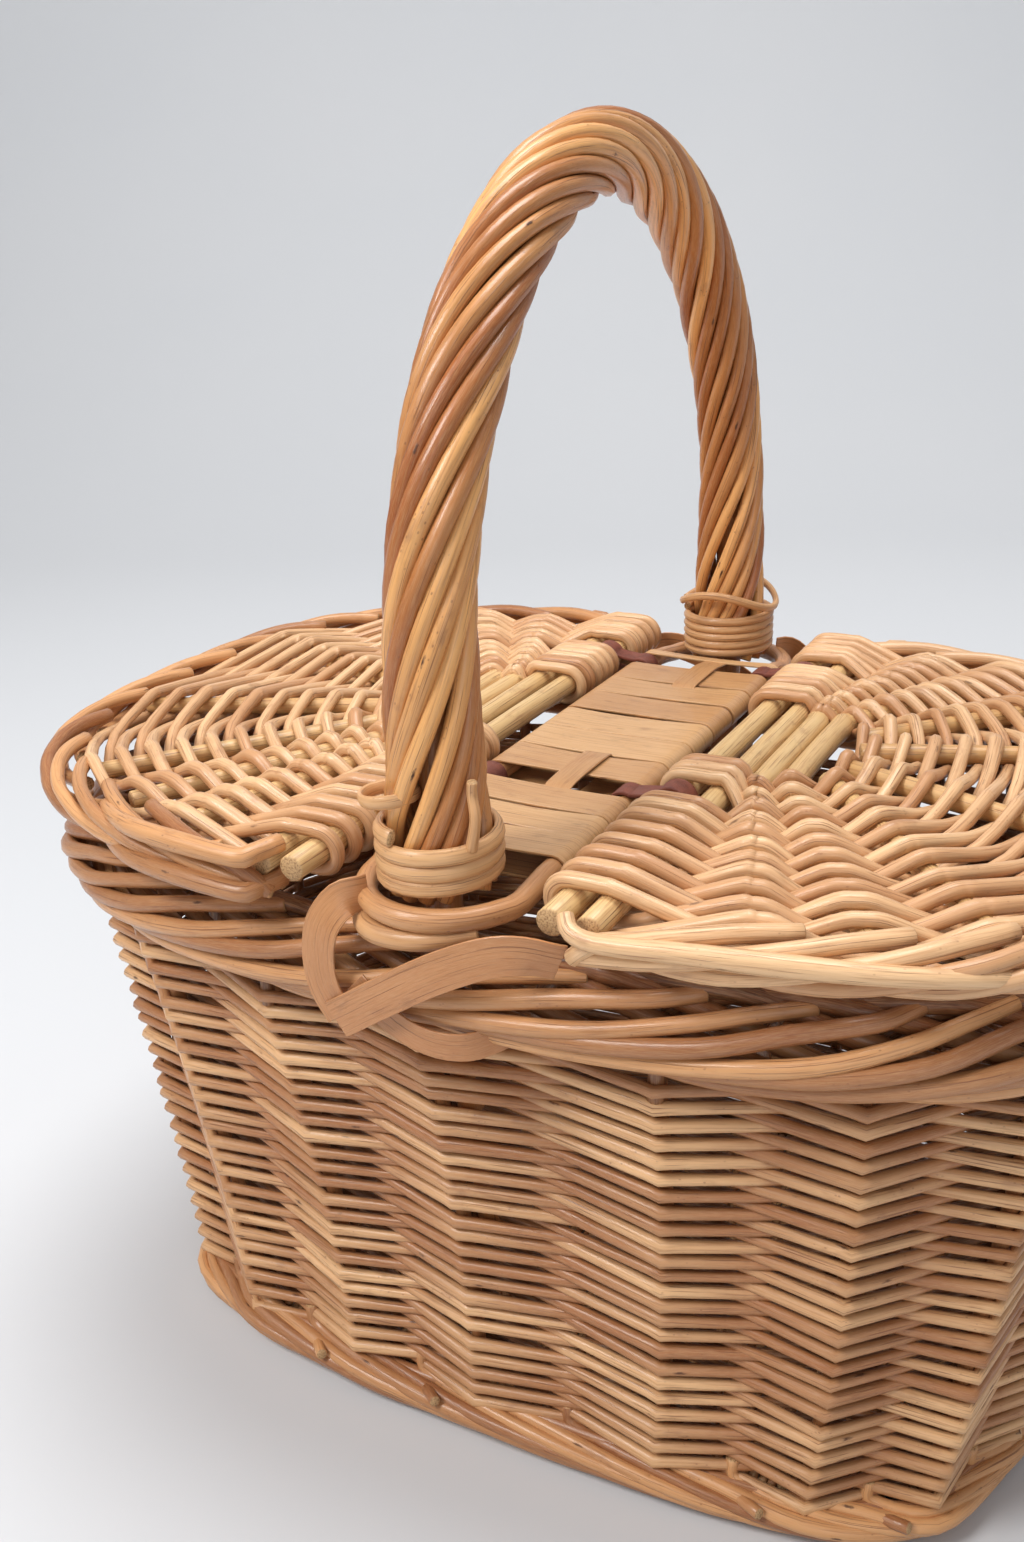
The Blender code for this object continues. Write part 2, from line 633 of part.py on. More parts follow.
def leather_loop(name, side, y):
    """A figure-eight strap: one eye sits on the rail, and the lid's stick turns in the other."""
    stick = Vector((STICK_X, LID_STICK_HEIGHT))
    rail = Vector((RAIL_X, RAIL_HEIGHT))
    apart = (stick - rail).length
    tilt = (stick - rail) / apart
    across = Vector((-tilt.y, tilt.x))
    rail_hole = RAIL_RADIUS / cos(pi / 8) + GAP

    def arc(middle, r, start, end, steps):
        ring = []
        for k in range(steps + 1):
            angle = start + (end - start) * k / steps
            ring.append(middle + tilt * (r * cos(angle)) + across * (r * sin(angle)))
        return ring

    def prism(profile, half):
        return loft([[(side * p.x, y + end * half, p.y) for p in profile] for end in (-1, 1)])

    waist = rail + tilt * (apart / 2)
    profile = arc(rail, rail_hole + LEATHER, 0.62, 2 * pi - 0.62, 11)
    profile.append(waist - across * LEATHER)
    profile += arc(stick, stick_eye() + LEATHER, pi + 0.58, 3 * pi - 0.58, 11)
    profile.append(waist + across * LEATHER)
    points, faces = prism(profile, LOOP_WIDTH / 2)
    strap = solid(name, points, faces, LEATHER_BROWN, 0.5)
    for k, (middle, r) in enumerate(((rail, rail_hole), (stick, stick_eye()))):
        hole = arc(middle, r / cos(pi / 12), 0, 2 * pi, 12)[:-1]
        points, faces = prism(hole, LOOP_WIDTH)
        cutter = solid(f"{name}_cut_{k}", points, faces, LEATHER_BROWN, smooth=False)
        cutter.hide_render = True
        cutter.display_type = "WIRE"
        cut = strap.modifiers.new(f"eye_{k}", "BOOLEAN")
        cut.operation = "DIFFERENCE"
        cut.solver = "EXACT"
        cut.object = cutter


def lid(name, side):
    axis = (side * STICK_X, 0.0, LID_STICK_HEIGHT)
    lid_panel(name, side, axis)
    lid_sticks(name, side, axis)
    lid_border(name, side, axis)
    for y, where in zip(LOOP_PLACES, ("near", "far")):
        leather_loop(f"{name}_loop_{where}", side, y)


clear_scene()
base()
foot_border()
side_weave()
stakes()
rim_border()
handle()
lappings()
bridge()
straps()
lid("left_lid", -1)
lid("right_lid", 1)
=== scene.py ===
# %% [markdown]
# # A willow picnic basket
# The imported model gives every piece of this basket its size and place: a tapered woven body,
# a roped handle, a bridge of split willow between its legs, and two lids that swing on leather.
# This lesson dresses that model. Nearly everything on the real basket is a peeled willow rod
# that was soaked, bent while wet and left to dry, so most of the work is one good rod, used
# hundreds of times, and one good willow finish.

# %% Load the frame
import json
import random
from math import cos, pi, radians, sin

import bpy
import numpy as np
from mathutils import Euler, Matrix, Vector

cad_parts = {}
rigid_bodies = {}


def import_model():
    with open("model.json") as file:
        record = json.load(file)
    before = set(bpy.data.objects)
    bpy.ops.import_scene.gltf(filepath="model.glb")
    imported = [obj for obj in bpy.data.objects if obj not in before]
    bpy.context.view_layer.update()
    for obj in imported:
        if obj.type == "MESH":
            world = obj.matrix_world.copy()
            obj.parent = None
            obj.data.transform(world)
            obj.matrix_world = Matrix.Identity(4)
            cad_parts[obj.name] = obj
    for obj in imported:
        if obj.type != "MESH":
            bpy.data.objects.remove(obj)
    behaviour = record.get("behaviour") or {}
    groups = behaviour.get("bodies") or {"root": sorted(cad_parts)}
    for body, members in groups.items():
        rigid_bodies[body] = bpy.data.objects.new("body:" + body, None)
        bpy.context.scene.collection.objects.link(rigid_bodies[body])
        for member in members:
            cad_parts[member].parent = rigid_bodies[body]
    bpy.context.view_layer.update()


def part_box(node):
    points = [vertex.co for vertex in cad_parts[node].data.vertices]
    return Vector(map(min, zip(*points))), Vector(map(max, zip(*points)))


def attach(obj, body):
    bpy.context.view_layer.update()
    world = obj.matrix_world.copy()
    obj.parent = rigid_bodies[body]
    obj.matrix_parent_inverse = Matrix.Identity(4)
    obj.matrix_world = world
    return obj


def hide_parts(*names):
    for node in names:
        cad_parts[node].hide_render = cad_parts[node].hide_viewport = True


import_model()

# %% [markdown]
# ## Camera
# A camera is a point, a direction and a lens. This one looks down on the near corner of the
# basket from about 0.6 m, as a person does who is about to lift the lid. The three angles are
# turned about X, Y and Z in that order: first the tilt up from straight down, then the turn.

# %% Camera
CAMERA_PLACE = (0.1927, -0.4369, 0.3990)
CAMERA_TURN = 28.078  # degrees to the left of +Y
CAMERA_DROP = 21.286  # degrees below the horizon
CAMERA_LEAN = 1.932  # the picture leans a little clockwise
CAMERA_LENS = 33.79

scene = bpy.context.scene
for thing in list(bpy.data.objects):
    if thing.type in {"CAMERA", "LIGHT"} or thing.name == "Cube":
        bpy.data.objects.remove(thing)
bpy.ops.object.camera_add(location=CAMERA_PLACE)
camera = bpy.context.object
camera.data.lens = CAMERA_LENS
camera.data.clip_start = 0.01
aim = Euler((radians(90 - CAMERA_DROP), 0, radians(CAMERA_TURN))).to_matrix()
lean = Euler((0, 0, radians(-CAMERA_LEAN))).to_matrix()
camera.rotation_euler = (aim @ lean).to_euler()
scene.camera = camera
print("camera", [round(c, 3) for c in camera.location], "lens", camera.data.lens)

# %% [markdown]
# ## Floor and light
# The basket stands on a long sheet of pale paper that sweeps up behind it, so that no line shows
# where the floor ends. It starts as a plane; its back edge is extruded
# upwards and the fold is bevelled into a wide curve.

# %% Helpers for working by hand
def deselect_all():
    if bpy.context.object and bpy.context.object.mode != "OBJECT":
        bpy.ops.object.mode_set(mode="OBJECT")
    bpy.ops.object.select_all(action="DESELECT")


def pick_edges(thing, wanted):
    """Go into edit mode on one object with only the edges that pass the test."""
    deselect_all()
    bpy.context.view_layer.objects.active = thing
    thing.select_set(True)
    bpy.ops.object.mode_set(mode="EDIT")
    bpy.ops.mesh.select_mode(type="EDGE")
    bpy.ops.mesh.select_all(action="DESELECT")
    bpy.ops.object.mode_set(mode="OBJECT")
    mesh = thing.data
    for edge in mesh.edges:
        one, two = (mesh.vertices[v].co for v in edge.vertices)
        edge.select = bool(wanted(one, two))
    bpy.ops.object.mode_set(mode="EDIT")


def settle(thing):
    """Leave edit mode and put the object's place, turn and size into its mesh."""
    deselect_all()
    thing.select_set(True)
    bpy.context.view_layer.objects.active = thing
    bpy.ops.object.transform_apply(location=True, rotation=True, scale=True)
    return thing


def finish_with(thing, kind, **settings):
    """Add a modifier, set it and apply it."""
    deselect_all()
    thing.select_set(True)
    bpy.context.view_layer.objects.active = thing
    modifier = thing.modifiers.new(kind.title(), kind)
    for name, value in settings.items():
        setattr(modifier, name, value)
    bpy.ops.object.modifier_apply(modifier=modifier.name)
    return thing


# %% [markdown]
# The sheet itself: the plane lies with its back edge behind the basket, and at the end the whole
# sheet is turned to face the camera.

# %% Paper sweep
PAPER_SIZE = 7.0
PAPER_BACK = 2.6  # distance from the basket to the fold
PAPER_RISE = 3.2
PAPER_DROP = 0.0002  # a hair under the floor, so that the foot doesn't cut it
FOLD_RADIUS = 1.3

deselect_all()
bpy.ops.mesh.primitive_plane_add(size=PAPER_SIZE, location=(0, PAPER_BACK - PAPER_SIZE / 2, -PAPER_DROP))
paper = bpy.context.object
paper.name = "paper_sweep"
settle(paper)
back = PAPER_BACK - 0.01
pick_edges(paper, lambda one, two: one.y > back and two.y > back)
bpy.ops.mesh.extrude_region_move(TRANSFORM_OT_translate={"value": (0, 0, PAPER_RISE)})
pick_edges(paper, lambda one, two: min(one.y, two.y) > back and max(one.z, two.z) < FOLD_RADIUS / 2)
bpy.ops.mesh.bevel(offset=FOLD_RADIUS, segments=24, profile=0.5)
settle(paper)
turn = Euler((0, 0, radians(CAMERA_TURN))).to_matrix().to_4x4()
paper.data.transform(turn)
bpy.ops.object.shade_smooth()
print("paper sweep has", len(paper.data.polygons), "faces")


# %% [markdown]
# The light is soft and comes from high on the left, as from a window with a curtain, with a
# pale room all round. Large area lamps give soft shadows; the smaller the lamp, the harder the
# shadow. The world fills the shadows with a cool white.

# %% Lamps
def lamp(name, place, target, size, power, tint):
    deselect_all()
    bpy.ops.object.light_add(type="AREA", location=place)
    light = bpy.context.object
    light.name = name
    light.data.shape = "DISK"
    light.data.size = size
    light.data.energy = power
    light.data.color = tint
    light.rotation_euler = (Vector(target) - Vector(place)).to_track_quat("-Z", "Y").to_euler()
    return light


BASKET_MIDDLE = (0, 0, 0.2)
lamp("window", (-0.80, -1.15, 1.65), BASKET_MIDDLE, 0.8, 28, (1.0, 0.985, 0.965))
lamp("top", (0.0, 0.2, 2.0), BASKET_MIDDLE, 1.0, 26, (1.0, 0.99, 0.98))
lamp("room", (1.1, -1.6, 0.9), BASKET_MIDDLE, 1.2, 5, (0.97, 0.985, 1.0))
world = bpy.data.worlds.new("pale_room")
scene.world = world
world.use_nodes = True
world.node_tree.nodes["Background"].inputs["Color"].default_value = (0.93, 0.96, 1.0, 1)
world.node_tree.nodes["Background"].inputs["Strength"].default_value = 0.36
scene.view_settings.view_transform = "Standard"

# %% [markdown]
# ## Writing shader maths
# A material is a small program made of nodes. Wiring sums by hand is slow to read, so one class
# wraps a socket and lets Python's own signs add the Math nodes: `grain * 0.3 + 0.7` makes two
# of them. Colours go through Mix nodes, and every other node comes from one method, `node`.

# %% Sockets that can be added and multiplied
class Signal:
    def __init__(self, finish, socket):
        self.finish, self.socket = finish, socket

    def maths(self, operation, *values):
        made = self.finish.node("ShaderNodeMath", {"operation": operation}, dict(enumerate(values)))
        return made["Value"]

    def __add__(self, other):
        return self.maths("ADD", self, other)

    def __sub__(self, other):
        return self.maths("SUBTRACT", self, other)

    def __rsub__(self, other):
        return self.maths("SUBTRACT", other, self)

    def __mul__(self, other):
        return self.maths("MULTIPLY", self, other)

    __radd__, __rmul__ = __add__, __mul__

    def between(self, low, high):
        """0 below low, 1 above high, and a smooth rise from one to the other."""
        values = {"Value": self, "From Min": low, "From Max": high}
        return self.finish.node("ShaderNodeMapRange", {"interpolation_type": "SMOOTHSTEP"}, values)["Result"]


class Finish:
    """One material being wired. It ends in a Principled shader."""

    def __init__(self, name):
        self.material = bpy.data.materials.new(name)
        self.material.use_nodes = True
        self.tree = self.material.node_tree
        self.shader = self.tree.nodes["Principled BSDF"]

    def plug(self, socket, value):
        if isinstance(value, Signal):
            self.tree.links.new(value.socket, socket)
        else:
            socket.default_value = value

    def node(self, kind, settings=None, values=None):
        """Add a node: its settings first, then the values or links of its sockets."""
        made = self.tree.nodes.new(kind)
        for name, value in (settings or {}).items():
            setattr(made, name, value)
        for name, value in (values or {}).items():
            self.plug(made.inputs[name], value)
        return {s.name: Signal(self, s) for s in made.outputs if s.enabled}

    def mix(self, factor, one, two):
        made = self.tree.nodes.new("ShaderNodeMix")
        made.data_type = "RGBA"
        colours = [s for s in made.inputs if s.type == "RGBA"]
        self.plug(made.inputs["Factor"], factor)
        for socket, value in zip(colours, (one, two)):
            self.plug(socket, value if isinstance(value, Signal) else (*value, 1))
        return Signal(self, [s for s in made.outputs if s.type == "RGBA"][0])

    def noise(self, place, scale, detail=2.0, roughness=0.5):
        values = {"Vector": place, "Scale": scale, "Detail": detail, "Roughness": roughness}
        return self.node("ShaderNodeTexNoise", None, values)["Fac"]

    def cells(self, place, scale, feature="F1"):
        """Scattered points: the distance to the nearest one, or to the border between two."""
        values = {"Vector": place, "Scale": scale}
        return self.node("ShaderNodeTexVoronoi", {"feature": feature}, values)["Distance"]

    def stretch(self, place, scale, shift=(0, 0, 0)):
        values = {"Vector": place, "Scale": scale, "Location": shift}
        return self.node("ShaderNodeMapping", None, values)["Vector"]

    def attribute(self, name, kind="Fac"):
        return self.node("ShaderNodeAttribute", {"attribute_name": name})[kind]

    def bump(self, height, strength, distance):
        values = {"Height": height, "Strength": strength, "Distance": distance}
        self.plug(self.shader.inputs["Normal"], self.node("ShaderNodeBump", None, values)["Normal"])

    def surface(self, **values):
        for name, value in values.items():
            self.plug(self.shader.inputs[name.replace("_", " ").title().replace("Ior", "IOR")], value)
        return self.material


# %% [markdown]
# ## Paper finish
# The sweep is matt paper: almost white, a breath of mottling, no gloss. Painted shade greys the floor part
# in front of the fold.

# %% Paper
def paper_finish():
    finish = Finish("matt_paper")
    place = finish.node("ShaderNodeTexCoord")["Object"]
    mottle = finish.noise(place, 2.2, 3).between(0.3, 0.7)
    colour = finish.mix(mottle, (0.91, 0.92, 0.94), (0.93, 0.935, 0.95))
    depth = finish.node("ShaderNodeSeparateXYZ", None, {"Vector": place})["Y"]
    # painted shade: the floor round the basket is painted grey, and the paper lightens towards the sweep
    # behind
    colour = finish.mix(depth.between(2.8, 0.0), colour, (0.630, 0.640, 0.660))
    fibre = finish.noise(place, 900, 2)
    finish.bump(fibre, 0.05, 0.0002)
    return finish.surface(base_color=colour, roughness=0.85, specular_ior_level=0.2)


paper.data.materials.append(paper_finish())

# %% [markdown]
# ## Willow finish
# Peeled willow is never one colour. The rods in a bundle differ from straw to honey to orange
# brown, each one darkens and lightens along its length, fine fibres run along it, and small
# dark eyes show where the leaves grew. A thin varnish gives a satin shine.
#
# A pattern on a bent rod has to bend with it, so each rod carries its own measure as mesh
# attributes: `grain` is the distance along the rod and the place round it, in metres, `tone` is
# one number for each rod, raised as painted shade where the rod runs inside the weave, and `cut`
# is 1 on the sawn ends, which show pale wood and a pith.

# %% Willow
STRAW, AMBER, RUSSET = (0.660, 0.405, 0.205), (0.400, 0.165, 0.055), (0.270, 0.105, 0.042)
BLUSH = (0.66, 0.33, 0.19)  # the pink that some peeled rods keep
EYE_BROWN = (0.085, 0.030, 0.012)
SEAM_BROWN = (0.215, 0.075, 0.025)  # fine dark lines along a rod
PAINTED_SHADE = (0.075, 0.024, 0.009)  # painted shade: the colour a rod is darkened towards where it runs inside the weave
SAWN_WOOD, PITH = (0.58, 0.36, 0.17), (0.30, 0.15, 0.06)


def willow(name, light, dark, shine=0.46, eyes=1.0, pink=0.0, varnish=0.12):
    """Willow whose rods range from the light colour to the dark one."""
    finish = Finish(name)
    grain = finish.attribute("grain", "Vector")
    tone = finish.attribute("tone")
    cut = finish.attribute("cut")
    # The scales are waves in a metre, first along the rod and then across it.
    drift = finish.noise(finish.stretch(grain, (11, 60, 60)), 1.0, 2)
    streak = finish.noise(finish.stretch(grain, (45, 1500, 1500)), 1.0, 3, 0.6)
    fibre = finish.noise(finish.stretch(grain, (260, 5200, 5200)), 1.0, 2, 0.6)
    blotch = finish.noise(finish.stretch(grain, (70, 160, 160)), 1.0, 3, 0.6)
    # tone holds each rod's own tone plus painted shade where it runs inside the weave, so this mix darkens
    # those parts too
    shade = (tone * 0.85 + drift * 0.9 - 0.46).between(0.0, 1.0)
    colour = finish.mix(shade, light, dark)
    # painted shade: where the tone was raised for lying inside the weave, the colour is darkened strongly
    colour = finish.mix(tone.between(1.3, 2.4) * 0.8, colour, PAINTED_SHADE)
    colour = finish.mix(streak.between(0.45, 0.72) * 0.62, colour, AMBER)
    colour = finish.mix(blotch.between(0.56, 0.78) * 0.55, colour, RUSSET)
    colour = finish.mix(fibre.between(0.35, 0.75) * 0.30, colour, STRAW)
    seam = finish.noise(finish.stretch(grain, (26, 2300, 2300), (7, 3, 0)), 1.0, 2, 0.55)
    colour = finish.mix(seam.between(0.60, 0.70) * 0.75, colour, SEAM_BROWN)
    if pink:
        colour = finish.mix(pink, colour, BLUSH)
    eye = finish.cells(finish.stretch(grain, (38, 150, 150)), 1.0)
    ragged = finish.noise(finish.stretch(grain, (900, 1600, 1600)), 1.0, 2)
    spot = (1 - (eye + ragged * 0.10).between(0.07, 0.15)) * eyes
    colour = finish.mix(spot * 0.9, colour, EYE_BROWN)
    speck = finish.cells(finish.stretch(grain, (420, 620, 620)), 1.0)
    dust = (1 - speck.between(0.10, 0.22)) * blotch.between(0.52, 0.60)
    colour = finish.mix(dust * 0.55 * eyes, colour, RUSSET)
    rings = finish.noise(finish.stretch(grain, (0, 1400, 1400)), 1.0, 3)
    end = finish.mix(rings.between(0.4, 0.7), SAWN_WOOD, PITH)
    colour = finish.mix(cut, colour, end)
    rough = shine + (streak - 0.5) * 0.22 + spot * 0.25 + cut * 0.3
    height = streak * 0.6 + fibre * 0.35 - seam.between(0.58, 0.70) * 0.8 - spot * 1.2 + rings * cut
    finish.bump(height, 0.55, 0.00022)
    return finish.surface(base_color=colour, roughness=rough, specular_ior_level=0.5, coat_weight=varnish)


BODY_WILLOW = willow("body_willow", (0.760, 0.450, 0.220), (0.360, 0.135, 0.046), 0.42)
RIM_WILLOW = willow("rim_willow", (0.680, 0.340, 0.140), (0.270, 0.088, 0.028), 0.38)
HANDLE_WILLOW = willow("handle_willow", (0.860, 0.440, 0.150), (0.330, 0.085, 0.014), 0.34, 1.2, 0.0, 0.18)
LID_WILLOW = willow("lid_willow", (0.800, 0.520, 0.275), (0.500, 0.240, 0.100), 0.40, 0.7, 0.12)
PALE_WILLOW = willow("pale_willow", (0.72, 0.49, 0.225), (0.60, 0.345, 0.13), 0.42, 0.5)
print("willow finishes:", [m.name for m in bpy.data.materials if "willow" in m.name])

# %% [markdown]
# ## One good rod
# A woven rod follows a long crooked path round things that hold it, which no primitive gives and
# no hand could extrude a hundred times. So it is made as a cord is: a smooth line is drawn
# through the points where the rod is held, and a ring of points is carried along it. The ring
# never twists against the path, the thickness may change on the way, and the ends are closed.

# %% A line through the places that hold a rod
def smooth_line(points, steps):
    """Catmull-Rom: a line that passes through every point with no kink."""
    held = np.asarray(points, float)
    if steps <= 1:
        return held
    before = np.vstack([2 * held[0] - held[1], held[:-1]])
    after = np.vstack([held[1:], 2 * held[-1] - held[-2]])
    slope = (after - before) / 2
    line = []
    for i in range(len(held) - 1):
        for t in np.arange(steps) / steps:
            line.append(
                held[i] * (2 * t**3 - 3 * t**2 + 1)
                + slope[i] * (t**3 - 2 * t**2 + t)
                + held[i + 1] * (3 * t**2 - 2 * t**3)
                + slope[i + 1] * (t**3 - t**2)
            )
    return np.array(line + [held[-1]])


def distances(line):
    """How far along a line each of its places lies."""
    return np.concatenate([[0], np.cumsum(np.linalg.norm(np.diff(line, axis=0), axis=1))])


def directions(line):
    """Which way a line runs at each of its places."""
    ahead = np.gradient(line, axis=0)
    return ahead / np.linalg.norm(ahead, axis=1)[:, None]


# %% [markdown]
# Many rods make one piece, so a bundle gathers their points and faces and builds one mesh at the
# end. It has its own seeded luck: every rod differs a little, in the same way on every run.

# %% Rods gathered into one piece
SAWN_BEVEL = 0.14  # share of a rod's radius that is rounded off at its sawn ends
WAVES = (95, 37)  # two slow swellings along a rod, which never quite repeat together


class Bundle:
    """Rods that belong to one piece. `rod` adds one; `piece` makes the mesh that holds them all."""

    def __init__(self, seed):
        self.chance = random.Random(seed)
        self.points, self.faces, self.grain, self.tone, self.cut = [], [], [], [], []

    def rod(self, path, radius, steps=3, sides=8, flat=1.0, up=(0, 0, 1), tone=None, wobble=0.03, shade=0.0):
        """A rod through the places of the path. radius and shade: one number, or one for each place."""
        held = np.asarray(path, float)
        line = smooth_line(held, steps)
        thick = np.interp(
            np.linspace(0, 1, len(line)), np.linspace(0, 1, np.size(radius)), np.atleast_1d(radius)
        )
        count = len(line)
        # painted shade: the shade values are added to the rod's tone, to darken the parts that lie in shadow
        painted_darkening = np.interp(np.linspace(0, 1, count), np.linspace(0, 1, np.size(shade)), np.atleast_1d(shade))
        ahead, run = directions(line), distances(line)
        tone = self.chance.random() if tone is None else tone
        phase, start = self.chance.random() * 6, self.chance.random() * 40
        short, long = np.sin(run * WAVES[0] + phase), np.sin(run * WAVES[1] + 2 * phase)
        thick = thick * (1 + wobble * short + wobble * long)
        upward = np.array(up, float)
        base = len(self.points)
        angles = 2 * pi * np.arange(sides) / sides
        for i in range(count):
            upward = upward - ahead[i] * upward.dot(ahead[i])
            upward /= np.linalg.norm(upward)
            side = np.cross(ahead[i], upward)
            r = thick[i]
            for angle in angles:
                across, high = r * cos(angle), r * flat * sin(angle)
                self.points.append(line[i] + side * across + upward * high)
                self.grain.append((start + run[i], across + 3 * start, high))
                self.tone.append(tone + painted_darkening[i])
                self.cut.append(0.0)
        for i in range(count - 1):
            near, far = base + i * sides, base + (i + 1) * sides
            for j in range(sides):
                k = (j + 1) % sides
                self.faces.append((near + j, near + k, far + k, far + j))
        for i, way in ((0, -1), (count - 1, 1)):
            self.cap(line[i], ahead[i] * way, base + i * sides, sides, way, thick[i], start, tone)

    def cap(self, middle, outward, ring, sides, way, r, start, tone):
        """A sawn end: a small bevel, then a face with its own points, so that its edge stays crisp."""
        new = len(self.points)
        for j in range(sides):
            edge = np.array(self.points[ring + j])
            self.points.append(middle + (edge - middle) * (1 - SAWN_BEVEL) + outward * r * SAWN_BEVEL)
            self.grain.append((start, self.grain[ring + j][1], self.grain[ring + j][2]))
            self.tone.append(tone)
            self.cut.append(1.0)
        for j in range(sides):
            k = (j + 1) % sides
            quad = (ring + j, ring + k, new + k, new + j)
            self.faces.append(quad[::-1] if way < 0 else quad)
        face = tuple(range(new, new + sides))
        self.faces.append(face[::-1] if way < 0 else face)

    def piece(self, name, finish, body, replaces, slot):
        mesh = bpy.data.meshes.new(name)
        mesh.from_pydata([tuple(p) for p in self.points], [], self.faces)
        grain = mesh.attributes.new("grain", "FLOAT_VECTOR", "POINT")
        grain.data.foreach_set("vector", np.array(self.grain, np.float32).ravel())
        for label, values in (("tone", self.tone), ("cut", self.cut)):
            layer = mesh.attributes.new(label, "FLOAT", "POINT")
            layer.data.foreach_set("value", np.array(values, np.float32))
        mesh.shade_smooth()
        mesh.materials.append(finish)
        thing = bpy.data.objects.new(name, mesh)
        scene.collection.objects.link(thing)
        return join_basket(thing, body, replaces)


def join_basket(thing, body, replaces):
    """Say what the piece rides on and hide the CAD nodes it stands for."""
    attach(thing, body)
    if replaces:
        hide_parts(*replaces)
    print(f"{thing.name}: {sum(len(f.vertices) - 2 for f in thing.data.polygons)} triangles")
    return thing


# %% [markdown]
# ## The shape of the body
# The body is a rounded box that leans outwards. At each height its outline is a superellipse:
# an ellipse whose exponent is raised, so that its sides flatten and its corners fill out. Twenty
# stakes stand round it, closer together at the corners, where the rods have to bend more.

# %% Outline and stakes
BODY_HEIGHT = 0.180
FOOT_HEIGHT = 0.0125
TOP_HALF_LENGTH, TOP_HALF_WIDTH = 0.1873, 0.1288
TAPER_X, TAPER_Y = 0.0263, 0.0257
BULGE_X, BULGE_Y = 0.0092, -0.0278
SQUARENESS_FOOT, SQUARENESS_TOP = 3.9, 3.05
LONG_SIDE_STAKES = (0.881, 0.655, 0.354, 0.0, -0.354, -0.655, -0.881)
SHORT_SIDE_STAKES = (-0.36, 0.0, 0.36)
LEG_STAKE_SHIFT = 0.0085
STAKE_DEPTH = 0.0061  # middle of a stake inside the outer face of the weave
STAKE_RADIUS = 0.0025


def wall_half(height):
    q = height / BODY_HEIGHT
    swell = q * (1 - q)
    return (
        TOP_HALF_LENGTH - TAPER_X * (1 - q) + BULGE_X * swell,
        TOP_HALF_WIDTH - TAPER_Y * (1 - q) + BULGE_Y * swell,
        SQUARENESS_FOOT + (SQUARENESS_TOP - SQUARENESS_FOOT) * q,
    )


def edge_of(half, other_half, squareness, other):
    return half * max(1 - abs(other / other_half) ** squareness, 0.0) ** (1 / squareness)


def stake_ring(height):
    """The twenty stakes at a height, as points on the stake line and unit vectors outwards."""
    half_x, half_y, n = wall_half(height)
    east = [(edge_of(half_x, half_y, n, y * half_y), y * half_y) for y in SHORT_SIDE_STAKES]
    north = []
    for share in LONG_SIDE_STAKES:
        x = share * half_x + (LEG_STAKE_SHIFT if share == 0 else 0)
        north.append((x, edge_of(half_y, half_x, n, x)))
    ring = np.array(east + north + [(-x, -y) for x, y in east] + [(-x, -y) for x, y in north])
    run = np.roll(ring, -1, axis=0) - np.roll(ring, 1, axis=0)
    out = np.stack([run[:, 1], -run[:, 0]], axis=1)
    out /= np.linalg.norm(out, axis=1)[:, None]
    return ring - out * STAKE_DEPTH, out


STAKES = len(stake_ring(0.1)[0])


def by_the_wall(bay, height, outward):
    """A point beside the wall: bay counts stakes round the basket, outward is from the stake line."""
    ring, out = stake_ring(min(max(height, 0.0), BODY_HEIGHT))
    i, share = int(np.floor(bay)), bay - np.floor(bay)
    one, two = i % STAKES, (i + 1) % STAKES
    place = ring[one] * (1 - share) + ring[two] * share
    way = out[one] * (1 - share) + out[two] * share
    way = way / np.linalg.norm(way)
    return (*(place + way * outward), height)


print("stakes:", STAKES, "rim half sizes:", [round(v, 4) for v in wall_half(BODY_HEIGHT)[:2]])

# %% [markdown]
# ## The side weave
# This is randing, the plainest weave: a rod passes in front of one stake and behind the next,
# and the row above does the opposite. Willow is stiff, so between stakes a rod runs straight and
# bends sharply over each stake. The rods are a little thicker than the rows are high, because
# they bed into each other. A rod is shorter than the way round, so each row is pieced together,
# always with the ends behind a stake.

# %% Side weave
ROWS = 49
ROW_PITCH = (BODY_HEIGHT - FOOT_HEIGHT - 0.001) / ROWS
WEAVER_RADIUS = 0.0022
HUG = 0.06  # share of a bay in which a rod bends round its stake
DIP = 0.0023  # a rod is pushed down in front of a stake, and rides up behind one
ROWS_IN_A_PIECE = 7
FIRST_IN_FRONT = 1


def weave_path(row, start, length, drift):
    """The places that hold one rod of the side weave, from one stake to another."""
    path, radii, shade = [], [], []
    reach = STAKE_RADIUS + WEAVER_RADIUS + 0.0004
    for step in range(length + 1):
        stake = start + step
        front = 1 if (stake + row + FIRST_IN_FRONT) % 2 else -1
        z = FOOT_HEIGHT + 0.0005 + ROW_PITCH * (row + 0.5)
        level = z + 0.0009 * sin(stake * 1.7 + z * 60) + drift[stake % STAKES]
        z = level - DIP * front
        for share, ease, thick in ((-HUG, 0.84, 1.0), (0, 1.0, 1.06), (HUG, 0.84, 1.0)):
            path.append(by_the_wall(stake + share, z + DIP * front * (1 - ease), front * reach * ease))
            radii.append(thick)
            # painted shade: behind a stake a rod is darkened strongly, between stakes slightly
            shade.append(0.0 if front > 0 else 3.0)
        if step < length:
            path.append(by_the_wall(stake + 0.5, level, 0.0))
            radii.append(0.84)
            shade.append(0.35)
    return path, radii, shade


